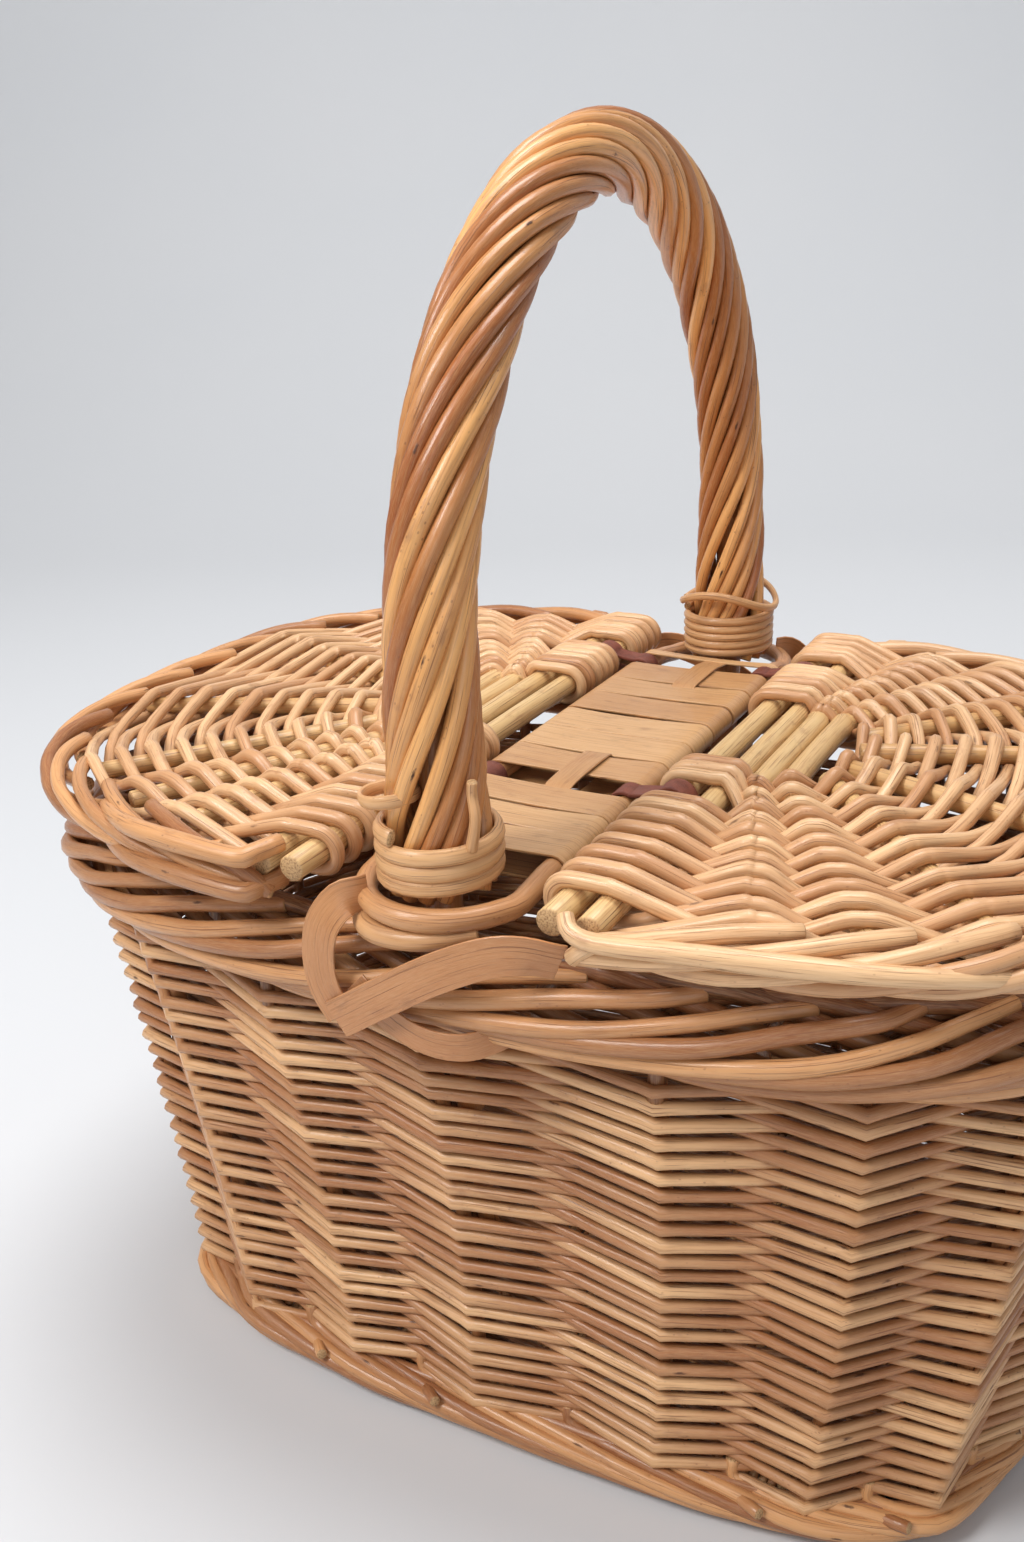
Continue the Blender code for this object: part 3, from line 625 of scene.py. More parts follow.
def side_rows(first, last, seed):
    bundle = Bundle(seed)
    for row in range(first, last):
        drift = [bundle.chance.uniform(-0.00022, 0.00022) for _ in range(STAKES)]
        start = 2 * bundle.chance.randrange(STAKES // 2) + (row + FIRST_IN_FRONT) % 2
        first_length = 2 * bundle.chance.randrange(3, 8)
        for begin, length in ((start, first_length), (start + first_length, STAKES - first_length)):
            path, radii, shade = weave_path(row, begin, length, drift)
            size = WEAVER_RADIUS * bundle.chance.uniform(0.86, 1.08)
            taper = np.linspace(1.06, 0.94, len(radii))
            bundle.rod(path, np.array(radii) * taper * size, steps=1, shade=shade)
    return bundle


for number, first in enumerate(range(0, ROWS, ROWS_IN_A_PIECE)):
    bundle = side_rows(first, min(first + ROWS_IN_A_PIECE, ROWS), 100 + number)
    bundle.piece(f"side_weave_{number + 1}", BODY_WILLOW, "basket", ["side_weave"], "weave")

# %% [markdown]
# ## Stakes
# The stakes are the warp. They stay hidden except for a dark glimpse between the rows, but
# without them the weave would look like stacked rings. They lean and taper with the wall.

# %% Stakes
for i in range(STAKES):
    bundle = Bundle(300 + i)
    heights = np.linspace(FOOT_HEIGHT, BODY_HEIGHT + 0.004, 7)
    # painted shade: the stakes are darkened where they stand inside the weave
    bundle.rod([by_the_wall(i, z, 0.0) for z in heights], STAKE_RADIUS, 2, up=(1, 0, 0), shade=0.9)
    bundle.piece(f"stake_rod_{i + 1:02d}", BODY_WILLOW, "basket", [f"stake_{i + 1:02d}"], "willow")

# %% [markdown]
# ## Rim border
# At the top every stake is bent down to the right and laid in behind its neighbours. It dives
# through to the outside one bay on, lies under the older ones, and climbs as it goes, until it
# slips inside again over four bays from home. Twenty stakes doing the same make a rolled rim
# with three rods showing at any place. The route is measured in bays from the stake.

# %% Rim border
RIM_ROD = 0.0030
RIM_PARTNER = 0.5  # bays between a stake and the extra rod laid in beside it
RIM_ROUTE = (  # bays on from its own stake, outwards from the stake line, height over the weave
    (0.00, 0.0000, -0.012),
    (0.02, 0.0000, 0.010),
    (0.16, 0.0006, 0.0205),
    (0.55, 0.0020, 0.0262),
    (1.00, 0.0030, 0.0245),
    (1.45, 0.0048, 0.0165),
    (1.90, 0.0072, 0.0080),
    (2.30, 0.0098, 0.0048),
    (2.80, 0.0120, 0.0068),
    (3.30, 0.0146, 0.0105),
    (3.75, 0.0150, 0.0150),
    (4.15, 0.0118, 0.0205),
    (4.50, 0.0080, 0.0243),
    (4.75, 0.0040, 0.0258),
)


def rim_strand(bundle, stake, seat):
    behind = 0.0045 if seat else 0.0
    lift = seat + bundle.chance.uniform(-0.0012, 0.0012)
    path = []
    for bays, out, high in RIM_ROUTE:
        x, y, _ = by_the_wall(stake + bays, BODY_HEIGHT, out - behind * (bays < 0.3))
        path.append((x, y, BODY_HEIGHT + high + lift))
    radii = RIM_ROD * np.interp([b for b, _, _ in RIM_ROUTE], [0, 0.5, 3, 5], [0.86, 0.95, 1.06, 0.78])
    # painted shade: where a rim rod runs near the stake line, inside the border, it is darkened
    shade = [1.3 if out < 0.004 else 0.0 for _, out, _ in RIM_ROUTE]
    bundle.rod(path, radii * bundle.chance.uniform(0.90, 1.06), 4, 10, shade=shade)


for quarter in range(4):
    bundle = Bundle(400 + quarter)
    for stake in range(quarter * 5, quarter * 5 + 5):
        rim_strand(bundle, stake, 0.0)
        rim_strand(bundle, stake + RIM_PARTNER, 0.0012)
    node = "rim_border_lower" if quarter % 2 else "rim_border_upper"
    bundle.piece(f"rim_rods_{quarter + 1}", RIM_WILLOW, "basket", [node], "willow")

# %% [markdown]
# ## Foot border
# The other ends of the stakes are turned down in the same way under the body, into a thick rolled
# foot that keeps the weave off the ground. The cut tips poke out here and there.

# %% Foot border
FOOT_ROD = 0.0027
FOOT_ROUTE = (  # bays on, outwards from the stake line, height over the floor
    (0.00, 0.0000, 0.0200),
    (0.05, 0.0010, 0.0128),
    (0.45, 0.0045, 0.0112),
    (1.00, 0.0080, 0.0090),
    (1.60, 0.0082, 0.0062),
    (2.20, 0.0058, 0.0036),
    (2.80, 0.0015, 0.0030),
    (3.30, -0.0030, 0.0032),
)


def foot_strand(bundle, stake):
    path = [by_the_wall(stake + bays, z, out) for bays, out, z in FOOT_ROUTE]
    bundle.rod(path, FOOT_ROD * bundle.chance.uniform(0.80, 1.05), 4, 10)


for half in range(2):
    bundle = Bundle(500 + half)
    for stake in range(half * 10, half * 10 + 10):
        foot_strand(bundle, stake)
        foot_strand(bundle, stake + 0.5)
        if stake % 3 != 1:
            way = bundle.chance.uniform(0.3, 0.6)
            tip = [by_the_wall(stake + way, 0.0100, 0.0040)]
            tip.append(by_the_wall(stake + way + 0.20, 0.0125, 0.0118))
            bundle.rod(tip, 0.0021, 3)
    for height, out in ((0.0118, 0.0020), (0.0080, 0.0034), (0.0046, 0.0010)):
        ring = [by_the_wall(half * 10 + step / 2, height + 0.0004 * sin(step), out) for step in range(22)]
        # painted shade: the rings laid in under the turned-down stakes are darkened
        bundle.rod(ring, FOOT_ROD * 0.85, 2, 10, shade=0.9)
    bundle.piece(f"foot_rods_{half + 1}", RIM_WILLOW, "basket", ["foot_border"], "willow")

# %% [markdown]
# ## Base
# The base is hidden under the body, but it shows when a lid is open. Long sticks run from end to
# end and rods are woven across them, over one and under the next.

# %% Base
BASE_MIDDLE = 0.0098
BASE_STICKS = (-0.0431, 0.0431)
BASE_ROD = 0.0016
base_x, base_y, base_n = wall_half(0.0)
BASE_INSET = 0.0095


def base_reach(x):
    return edge_of(base_y - BASE_INSET, base_x - BASE_INSET, base_n, x)


bundle = Bundle(600)
base_end = base_x - BASE_INSET - 0.004
count = int(2 * base_end / (2 * BASE_ROD))
posts = np.linspace(-0.8, 0.8, 5)
for i in range(count):
    x = -base_end + 2 * BASE_ROD * (i + 0.5)
    reach = base_reach(x)
    path = [(x, -reach, BASE_MIDDLE)]
    for k, share in enumerate(posts):
        if abs(share * base_y) < reach - 0.006:
            path.append((x, share * base_y, BASE_MIDDLE + (0.0014 if (i + k) % 2 else -0.0002)))
    path.append((x, reach, BASE_MIDDLE))
    bundle.rod(path, BASE_ROD, 3, 6)
bundle.piece("base_rods", BODY_WILLOW, "basket", ["base_weave"], "weave")
for y, name in zip(BASE_STICKS, ("base_stick_front", "base_stick_back")):
    low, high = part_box(name)
    bundle = Bundle(610 + (y > 0))
    path = [(x, (low.y + high.y) / 2, (low.z + high.z) / 2) for x in np.linspace(low.x, high.x, 5)]
    bundle.rod(path, (high.z - low.z) / 2, 3, 12, wobble=0.01)
    bundle.piece(name + "_rod", PALE_WILLOW, "basket", [name], "willow")

# %% [markdown]
# ## Handle
# A stout bow carries the load. Twelve thinner rods are laid round it in three groups of four and
# twisted as they go, like a rope, so the hand meets no edge. Towards the foot the groups
# spread and the bow shows between them.

# %% Handle
LEG_Y = 0.120
STRAIGHT_TOP = 0.280
ARCH_RISE = 0.1335
ROPE_RADIUS, ROPE_FOOT_RADIUS = 0.0130, 0.0162
ROPE_PITCH = 0.175
ROPE_START = 1.5  # turn of the first group at the near foot
STRAND_RADIUS = 0.00255
BOW_RADIUS = 0.0055
LAPPING_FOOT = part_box("lapping_near")[0].z
FLARE_LENGTH = 0.085  # the part of each leg over which the rods spread towards the foot
LEG_FOOT = 0.092  # how far down inside the weave the bow reaches


def arch_line(low, leg_steps=5, arch_steps=40):
    near = [(0, -LEG_Y, low + (STRAIGHT_TOP - low) * i / leg_steps) for i in range(leg_steps)]
    arch = []
    for i in range(arch_steps + 1):
        angle = pi * i / arch_steps
        arch.append((0, -LEG_Y * cos(angle), STRAIGHT_TOP + ARCH_RISE * sin(angle)))
    return np.array(near + arch + [(0, -y, z) for _, y, z in reversed(near)])


rope = smooth_line(arch_line(LAPPING_FOOT - 0.001), 2)
rope_run = distances(rope)
rope_side = np.cross(directions(rope), (1.0, 0, 0))


def strand_path(turn, sag):
    """One rod of the handle: it stays on the rope's surface and turns once in a rope pitch."""
    path = []
    for place, side, s in zip(rope, rope_side, rope_run):
        from_end = min(s, rope_run[-1] - s)
        flare = max(0.0, 1 - from_end / FLARE_LENGTH) ** 1.6
        reach = ROPE_RADIUS + (ROPE_FOOT_RADIUS - ROPE_RADIUS) * flare - STRAND_RADIUS - sag
        spread = 2 * np.arcsin(STRAND_RADIUS / reach)
        angle = 2 * pi * (turn[0] - s / ROPE_PITCH) + turn[1] * spread
        path.append(place + reach * (side * cos(angle) + np.array((1.0, 0, 0)) * sin(angle)))
    return path


for group in range(3):
    bundle = Bundle(700 + group)
    for k in range(4):
        path = strand_path((group / 3 + ROPE_START, k - 1.5), bundle.chance.uniform(0, 0.0006))
        thick = STRAND_RADIUS * bundle.chance.uniform(0.95, 1.06)
        bundle.rod(path, np.linspace(thick * 1.05, thick * 0.93, 12), 1, 10, wobble=0.025)
    stands_for = [f"handle_bundle_{group + 1}"]
    bundle.piece(f"handle_rods_{group + 1}", HANDLE_WILLOW, "basket", stands_for, "willow")


def leg_line(side):
    """The end of the bow is pushed down between the stakes, inside the weave."""
    points = []
    for z in np.linspace(LEG_FOOT, 0.190, 5):
        y = wall_half(min(z, BODY_HEIGHT))[1] - 0.0110
        points.append((0, side * y, z))
    return points


bundle = Bundle(710)
bow = leg_line(-1) + [tuple(p) for p in arch_line(LAPPING_FOOT, 3, 30)] + leg_line(1)[::-1]
bundle.rod(bow, BOW_RADIUS, 2, 12, up=(1, 0, 0), tone=0.9, wobble=0.01)
bundle.piece("handle_bow_rod", HANDLE_WILLOW, "basket", ["handle_bow"], "willow")

# %% [markdown]
# ## Lappings
# A lapping is a strip wound tightly round the foot of each leg, which clamps the handle rods to
# the bow. The near one has just over three broad turns; the far one has more turns of a thinner
# strip, with one turn crossed over the others to lock it.

# %% Lappings
COIL_STEPS = 26  # places in one turn
LAPPING_REACH = 0.0170


def coil(middle, r, low, high, turns, start):
    """A strip wound round an upright middle, from one height to another."""
    path = []
    for i in range(int(turns * COIL_STEPS) + 1):
        share = i / (turns * COIL_STEPS)
        angle = start + 2 * pi * turns * share
        path.append((middle[0] + r * cos(angle), middle[1] + r * sin(angle), low + (high - low) * share))
    return path


LAPPING_WILLOW = willow("lapping_willow", (0.740, 0.420, 0.190), (0.470, 0.210, 0.080), 0.40, 0.8)
bundle = Bundle(720)
near_leg, far_leg = (0, -LEG_Y), (0, LEG_Y)
turns = coil(near_leg, LAPPING_REACH, 0.2256, 0.2408, 3.35, 2.2)
bundle.rod(turns, 0.00138, 1, 10, flat=1.85, tone=0.35, wobble=0.02)
loop = []  # a small loose turn of skein above the others
for a in np.linspace(0.5, 6.5, 18):
    loop.append((-0.0105 + 0.0082 * cos(a), -0.1275 + 0.0078 * sin(a), 0.2500 + 0.0012 * cos(a)))
bundle.rod(loop, 0.0010, 2, 8, flat=2.1, tone=0.3)
ragged_end = [(0.0150, -0.1285, 0.238), (0.0166, -0.1285, 0.247)]
ragged_end += [(0.0150, -0.1268, 0.253), (0.0154, -0.1272, 0.2572)]
bundle.rod(ragged_end, 0.0019, 6, 8, wobble=0.16, tone=0.5)
stub = [(-0.0205, -0.1300, 0.2140), (-0.0150, -0.1370, 0.2128), (-0.0060, -0.1398, 0.2126)]
stub += [(0.0060, -0.1390, 0.2136), (0.0180, -0.1330, 0.2150)]
bundle.rod(stub, 0.0031, 4, 10, tone=0.6)
bundle.piece("lapping_near_turns", LAPPING_WILLOW, "basket", ["lapping_near"], "split_skein")

bundle = Bundle(721)
turns = coil(far_leg, LAPPING_REACH, 0.2250, 0.2425, 5.4, 1.1)
bundle.rod(turns, 0.0015, 1, 10, flat=1.15, tone=0.4, wobble=0.03)
outer = LAPPING_REACH * 1.12
cross = []
for a in np.linspace(3.4, 9.4, 26):
    cross.append((outer * cos(a), LEG_Y + outer * sin(a), 0.2475 - 0.0035 * cos(2 * a)))
bundle.rod(cross, 0.0014, 2, 8, flat=1.2, tone=0.55, wobble=0.05)
bundle.piece("lapping_far_turns", LAPPING_WILLOW, "basket", ["lapping_far"], "split_skein")

# %% [markdown]
# ## Hoop and bridge
# One long rod is bent into a narrow hoop that runs round the outside of both legs. Its two long
# sides are the rails of the bridge, and the lids hang on them.

# %% Hoop
RAIL_HEIGHT, RAIL_RADIUS, RAIL_X = 0.2218, 0.0035, 0.0252
HOOP_DROP = 0.0022  # the ends of the hoop lie a little lower than its sides
RAIL_END = 0.1045  # where a straight rail starts to bend round the leg
TURN_Y = LEG_Y - 0.008
HOOP_REACH = LEG_Y + ROPE_FOOT_RADIUS + RAIL_RADIUS - TURN_Y


def hoop_side(sign):
    """Half way along one rail, round one leg and back along the other rail."""
    line = [(sign * RAIL_X, sign * y, RAIL_HEIGHT) for y in np.linspace(0, RAIL_END, 6)]
    for angle in np.linspace(0, pi, 13)[:-1]:
        place = (sign * RAIL_X * cos(angle), sign * (TURN_Y + HOOP_REACH * sin(angle)))
        line.append((*place, RAIL_HEIGHT - HOOP_DROP))
    return line + [(-sign * RAIL_X, sign * y, RAIL_HEIGHT) for y in (RAIL_END, 0.08, 0.05, 0.02)]


bundle = Bundle(730)
hoop = hoop_side(1) + [(-RAIL_X, 0.0, RAIL_HEIGHT)]
bundle.rod(hoop, RAIL_RADIUS, 2, 12, tone=0.55, wobble=0.012)
hoop = hoop_side(-1) + [(RAIL_X, 0.0, RAIL_HEIGHT)]
bundle.rod(hoop, RAIL_RADIUS, 2, 12, tone=0.5, wobble=0.012)
bundle.piece("bridge_hoop_rod", RIM_WILLOW, "basket", ["bridge_hoop"], "willow")

# %% [markdown]
# ## Skeins
# A skein is a rod split lengthwise and shaved flat, like a wooden ribbon. It is modelled as the
# strip it is: a flat grid of faces is laid along the route, thickened with Solidify and softened
# with a small Bevel, so that its edges catch the light.

# %% Ribbon
def ribbon(name, finish, line, across, width, thickness, seed, tone=None, columns=4):
    """A flat strip along a line. across is the width direction at each place, or one for all.

    width is one number, or for each place how far the strip reaches to its two sides.
    """
    line = np.asarray(line, float)
    across = np.asarray(across, float) * np.ones((len(line), 3))
    across = across / np.linalg.norm(across, axis=1)[:, None]
    width = np.ones((len(line), 2)) * np.atleast_2d(width) / (2 if np.ndim(width) < 2 else 1)
    run = distances(line)
    luck = random.Random(seed)
    tone = luck.random() if tone is None else tone
    start = luck.random() * 30
    deselect_all()
    bpy.ops.mesh.primitive_grid_add(x_subdivisions=columns, y_subdivisions=len(line) - 1, size=1)
    strip = bpy.context.object
    strip.name = name
    for kind, label in (("FLOAT_VECTOR", "grain"), ("FLOAT", "tone"), ("FLOAT", "cut")):
        strip.data.attributes.new(label, kind, "POINT")
    grain, shade = strip.data.attributes["grain"], strip.data.attributes["tone"]
    for point in strip.data.vertices:
        side, i = point.co.x * 2, round((point.co.y + 0.5) * (len(line) - 1))
        reach = side * width[i][0 if side < 0 else 1]
        point.co = line[i] + across[i] * reach
        grain.data[point.index].vector = (start + run[i], start + reach, 0)
        shade.data[point.index].value = tone
    finish_with(strip, "SOLIDIFY", thickness=thickness, offset=0)
    bevel = {"width": thickness * 0.22, "segments": 1, "limit_method": "ANGLE", "angle_limit": radians(50)}
    finish_with(strip, "BEVEL", **bevel)
    deselect_all()
    strip.select_set(True)
    bpy.ops.object.shade_smooth_by_angle(angle=radians(38))
    strip.data.materials.clear()
    strip.data.materials.append(finish)
    return strip


def joined(name, strips):
    """Several strips made one piece."""
    deselect_all()
    for strip in strips:
        strip.select_set(True)
    bpy.context.view_layer.objects.active = strips[0]
    bpy.ops.object.join()
    strips[0].name = name
    return strips[0]


SKEIN_WILLOW = willow("skein_willow", (0.660, 0.385, 0.175), (0.500, 0.250, 0.100), 0.40, 0.35)
STRAP_WILLOW = willow("strap_willow", (0.640, 0.300, 0.120), (0.420, 0.165, 0.060), 0.40, 0.6)

# %% [markdown]
# The bridge is wound with broad skeins, side by side from rail to rail. Each is a closed band, and
# since it is wood and not cloth its edges never quite meet the next one: thin dark slits stay
# between them.

# %% Bridge skeins
SKEIN = 0.0008
BAND_REACH = 0.0042  # from the middle of a rail to the middle of the skein
BRIDGE_GROUPS = (  # where a group of bands starts and ends along the bridge, and how many it has
    ("near", -0.1005, -0.0512, 3),
    ("middle", -0.0395, 0.0825, 6),
    ("far", 0.0942, 0.1005, 1),
)


def band_line():
    """Once round both rails, from the middle of the underside, with the ends overlapped."""
    under, over = RAIL_HEIGHT - BAND_REACH, RAIL_HEIGHT + BAND_REACH
    line = [(0.003 + (RAIL_X - 0.003) * t, under) for t in (0, 0.5)]
    turn = [(BAND_REACH * sin(a), BAND_REACH * cos(a)) for a in np.linspace(0, pi, 9)]
    line += [(RAIL_X + out, RAIL_HEIGHT - up) for out, up in turn]
    line += [(RAIL_X * t, over - 0.0005 * (1 - t * t)) for t in (0.75, 0.45, 0.15, -0.15, -0.45, -0.75)]
    line += [(-RAIL_X - out, RAIL_HEIGHT + up) for out, up in turn]
    return line + [(-RAIL_X * 0.5, under), (-0.001, under + 0.0004)]


chance = random.Random(740)
for group, start, end, count in BRIDGE_GROUPS:
    strips = []
    pitch = (end - start) / count
    for k in range(count):
        middle = start + pitch * (k + 0.5)
        slant = chance.uniform(-0.0011, 0.0011)
        line = [(x, middle + slant * x / RAIL_X, z) for x, z in band_line()]
        pinch = [chance.choice((0.0002, 0.0004, 0.0016)) for _ in range(2)]
        widths = [
            [pitch / 2 - 0.0001 - p * (0.35 + 0.65 * (1 - min(1, abs(x) / RAIL_X) ** 2)) for p in pinch]
            for x, _, _ in line
        ]
        seed = 750 + 10 * count + k
        strips.append(ribbon(f"band_{k}", SKEIN_WILLOW, line, (0, 1, 0), widths, SKEIN, seed))
    piece = joined(f"bridge_bands_{group}", strips)
    join_basket(piece, "basket", [f"bridge_skein_{group}"])

# One long strip runs along the middle, over some bands and under others.
OVER, UNDER = RAIL_HEIGHT + BAND_REACH + 0.0008, RAIL_HEIGHT + BAND_REACH - 0.0016
LONG_SKEIN_X, LONG_SKEIN_WIDTH, LONG_SKEIN = 0.0035, 0.0092, 0.0007
LONG_SKEIN_ROUTE = (  # along the bridge, height
    (-0.0985, UNDER), (-0.072, UNDER), (-0.056, UNDER), (-0.050, OVER - 0.0006), (-0.040, OVER),
    (-0.026, OVER), (-0.0195, OVER - 0.0006), (-0.015, UNDER), (0.010, UNDER), (0.052, UNDER),
    (0.0605, OVER - 0.0004), (0.070, OVER), (0.082, OVER), (0.090, OVER - 0.0010), (0.099, UNDER),
)
weaver = smooth_line([(LONG_SKEIN_X, y, z) for y, z in LONG_SKEIN_ROUTE], 3)
strip = ribbon("bridge_weaver", SKEIN_WILLOW, weaver, (-1, 0, 0), LONG_SKEIN_WIDTH, LONG_SKEIN, 771)
join_basket(strip, "basket", ["bridge_long_skein"])

# %% [markdown]
# ## Straps
# Outside each leg a flat strap is tied down over the rim. It comes over the top, folds on
# itself and rises again on the other side, so that it reads as a V.

# %% Straps
STRAP_FACE = -0.1436  # where the near strap lies against the outside of the rim
STRAP = 0.0008
STRAP_WIDTHS = (0.0108, 0.0117, 0.0085)
LEFT_ARM = (  # sideways, inwards from the face, height
    (-0.0165, 0.0106, 0.2215), (-0.0215, 0.0041, 0.2205), (-0.0262, 0.0005, 0.2130),
    (-0.0278, 0.0000, 0.2020), (-0.0262, 0.0000, 0.1930), (-0.0215, 0.0000, 0.1858),
)
RIGHT_ARM = (
    (-0.0225, -0.0012, 0.1850), (-0.0060, -0.0020, 0.1965), (0.0110, -0.0016, 0.2075),
    (0.0260, 0.0008, 0.2145), (0.0360, 0.0035, 0.2160), (0.0440, 0.0090, 0.2132),
)
TAIL = (
    (-0.0180, 0.0030, 0.1960), (-0.0080, 0.0025, 0.1875), (0.0050, 0.0020, 0.1830),
    (0.0170, 0.0045, 0.1828), (0.0245, 0.0125, 0.1845),
)

for side, where in ((1, "near"), (-1, "far")):
    strips = []
    for number, (run, width) in enumerate(zip((LEFT_ARM, RIGHT_ARM, TAIL), STRAP_WIDTHS)):
        line = smooth_line([(side * x, side * (STRAP_FACE + inward), z) for x, inward, z in run], 4)
        outward = np.array((0.0, -side, 0.0))
        across = np.cross(np.gradient(line, axis=0), outward)
        name = f"strap_{where}_{number}"
        strips.append(ribbon(name, STRAP_WILLOW, line, across, width, STRAP, 780 + number, tone=0.75))
    piece = joined(f"strap_{where}_skein", strips)
    join_basket(piece, "basket", [f"strap_{where}"])

# %% [markdown]
# ## Lids
# Each lid is woven like a flat basket. Four pale sticks lie side by side at the hinge edge; two
# run straight, the others fan out with the stakes. Weavers start at the hinge stick, run round in
# a U and come back to it, over one stake and under the next. Every row is a blend between the
# small U round the open window and the big U inside the border.

# %% Lid outline
LID_HALF_LENGTH, LID_HALF_WIDTH, LID_SQUARENESS = 0.1990, 0.1435, 3.0
LID_INSET = 0.0142
STICK_X, STICK_HEIGHT, STICK_RADIUS = 0.0412, 0.2246, 0.0041
SECOND_STICK_X = 0.0524
WINDOW_LOW, WINDOW_HIGH = -0.0225, 0.0430
LOOP_PLACES = (-0.0454, 0.0883)
ROW_PLACES = 241  # places along a row


def lid_curve(half_x, half_y, start, count):
    """The rounded end of a lid, from the near hinge corner to the far one, evenly spaced."""
    angles = np.linspace(-pi / 2, pi / 2, 1200)
    power = 2 / LID_SQUARENESS
    x = half_x * np.abs(np.cos(angles)) ** power
    y = half_y * np.sign(np.sin(angles)) * np.abs(np.sin(angles)) ** power
    inside = x > start
    line = np.stack([x[inside], y[inside]], axis=1)
    return evenly(line, count)


def evenly(line, count):
    line = np.asarray(line, float)
    run = distances(line)
    even = np.linspace(0, run[-1], count)
    return np.stack([np.interp(even, run, line[:, 0]), np.interp(even, run, line[:, 1])], axis=1)


big_u = lid_curve(LID_HALF_LENGTH - LID_INSET, LID_HALF_WIDTH - LID_INSET, SECOND_STICK_X, ROW_PLACES)
small = [(SECOND_STICK_X, WINDOW_LOW), (0.066, WINDOW_LOW), (0.0755, WINDOW_LOW + 0.006), (0.0795, 0.000)]
small += [(0.0800, 0.010), (0.0795, 0.021), (0.0755, WINDOW_HIGH - 0.006), (0.066, WINDOW_HIGH)]
small.append((SECOND_STICK_X, WINDOW_HIGH))
small_u = evenly(smooth_line(small, 12), ROW_PLACES)

POSTS = (  # the fan of stakes from the near side round to the far side, each as start and end
    ((0.0612, -0.0180), (0.0624, -0.0300), (0.0975, -0.1400)),
    ((0.0700, -0.0180), (0.0735, -0.0300), (0.1350, -0.1400)),
    ((0.0800, -0.0110), (0.0830, -0.0150), (0.1780, -0.1350)),
    ((0.0830, 0.0020), (0.0870, 0.0005), (0.2050, -0.0430)),
    ((0.0830, 0.0180), (0.0870, 0.0195), (0.2050, 0.0630)),
    ((0.0800, 0.0310), (0.0830, 0.0350), (0.1780, 0.1350)),
    ((0.0700, 0.0380), (0.0735, 0.0500), (0.1300, 0.1400)),
    ((0.0612, 0.0380), (0.0624, 0.0500), (0.0900, 0.1400)),
)


def crossing(row, post):
    """Where a row passes over or under a stake, as an index along the row."""
    best, place = np.inf, 0
    line = np.array(post)
    for one, two in zip(line, line[1:]):
        run = two - one
        share = np.clip(((row - one) @ run) / run.dot(run), 0, 1)
        gap = np.linalg.norm(row - (one + share[:, None] * run), axis=1)
        if gap.min() < best:
            best, place = gap.min(), int(gap.argmin())
    return place


print("rows of a lid run from", np.round(small_u[0], 4), "to", np.round(big_u[0], 4))

# %% [markdown]
# A row bends over a stake and dives straight to the next. At the hinge, a row that arrives on
# top wraps down round the inner stick; a row that arrives below ends under the sticks. Beside
# each leather loop the rows are pushed apart to leave it room.

# %% Rows of a lid
LID_ROWS = 22
LID_WEAVER = 0.0023
FAN_AMPLITUDE = 0.0046
HINGE_AMPLITUDE = STICK_RADIUS + LID_WEAVER
LOOP_ROOM, LOOP_INFLUENCE = 0.0070, 0.022


def past_the_loops(y):
    for place in LOOP_PLACES:
        off = y - place
        if abs(off) < LOOP_INFLUENCE:
            pushed = LOOP_ROOM + abs(off) * (LOOP_INFLUENCE - LOOP_ROOM) / LOOP_INFLUENCE
            return place + (pushed if off >= 0 else -pushed)
    return y


def hinge_end(y, over):
    """The last places of a row at the hinge sticks, from the second stick inwards."""
    a = HINGE_AMPLITUDE
    if not over:
        return [(SECOND_STICK_X + 0.002, y, -a), (STICK_X + 0.004, y, -a)]
    wrap = [(SECOND_STICK_X + 0.0035, y, a * 0.86), (SECOND_STICK_X - 0.002, y, a), (STICK_X, y, a)]
    return wrap + [
        (STICK_X - a * sin(t), y + 0.0004 * t, a * cos(t)) for t in (0.6, 1.2, 1.8, 2.4, 3.0)
    ] + [(STICK_X + 0.006, y + 0.001, -a * 0.97)]


def lid_row(k, chance):
    u = (k + 0.5) / LID_ROWS
    row = small_u * (1 - u) + big_u * u
    over = k % 2 == 0
    stops = [crossing(row, post) for post in POSTS]
    near_y, far_y = past_the_loops(row[0][1]), past_the_loops(row[-1][1])
    path = hinge_end(near_y, over)[::-1]
    radii = [1.0] * len(path)
    before = 0
    for number, stop in enumerate(stops):
        up = -1 if (number % 2 == 0) == over else 1
        half = (before + stop) // 2
        if number:
            path.append((*row[half], 0.0))
            radii.append(0.95)
        lift = FAN_AMPLITUDE * (1 + 0.14 * chance.uniform(-1, 1))
        for shift, ease in ((-3, 0.90), (0, 1.0), (3, 0.90)):
            path.append((*row[min(max(stop + shift, 0), len(row) - 1)], up * lift * ease))
            radii.append(1.03)
        before = stop
    far_over = (len(POSTS) % 2 == 0) != over
    path += hinge_end(far_y, far_over)
    radii += [1.0] * (len(path) - len(radii))
    return path, np.array(radii)


def lid_weave(side, name):
    for band in range(4):
        bundle = Bundle(800 + band + (10 if side < 0 else 0))
        for k in range(band, LID_ROWS, 4):
            path, radii = lid_row(k, bundle.chance)
            path = [(side * x, y, STICK_HEIGHT + z) for x, y, z in path]
            size = LID_WEAVER * bundle.chance.uniform(0.92, 1.08)
            bundle.rod(path, radii * size * np.linspace(1.06, 0.94, len(radii)), 3, 8)
        bundle.piece(f"{name}_rows_{band + 1}", LID_WILLOW, name, [f"{name}_weave"], "lid_weave")


for side, name in ((1, "right_lid"), (-1, "left_lid")):
    lid_weave(side, name)

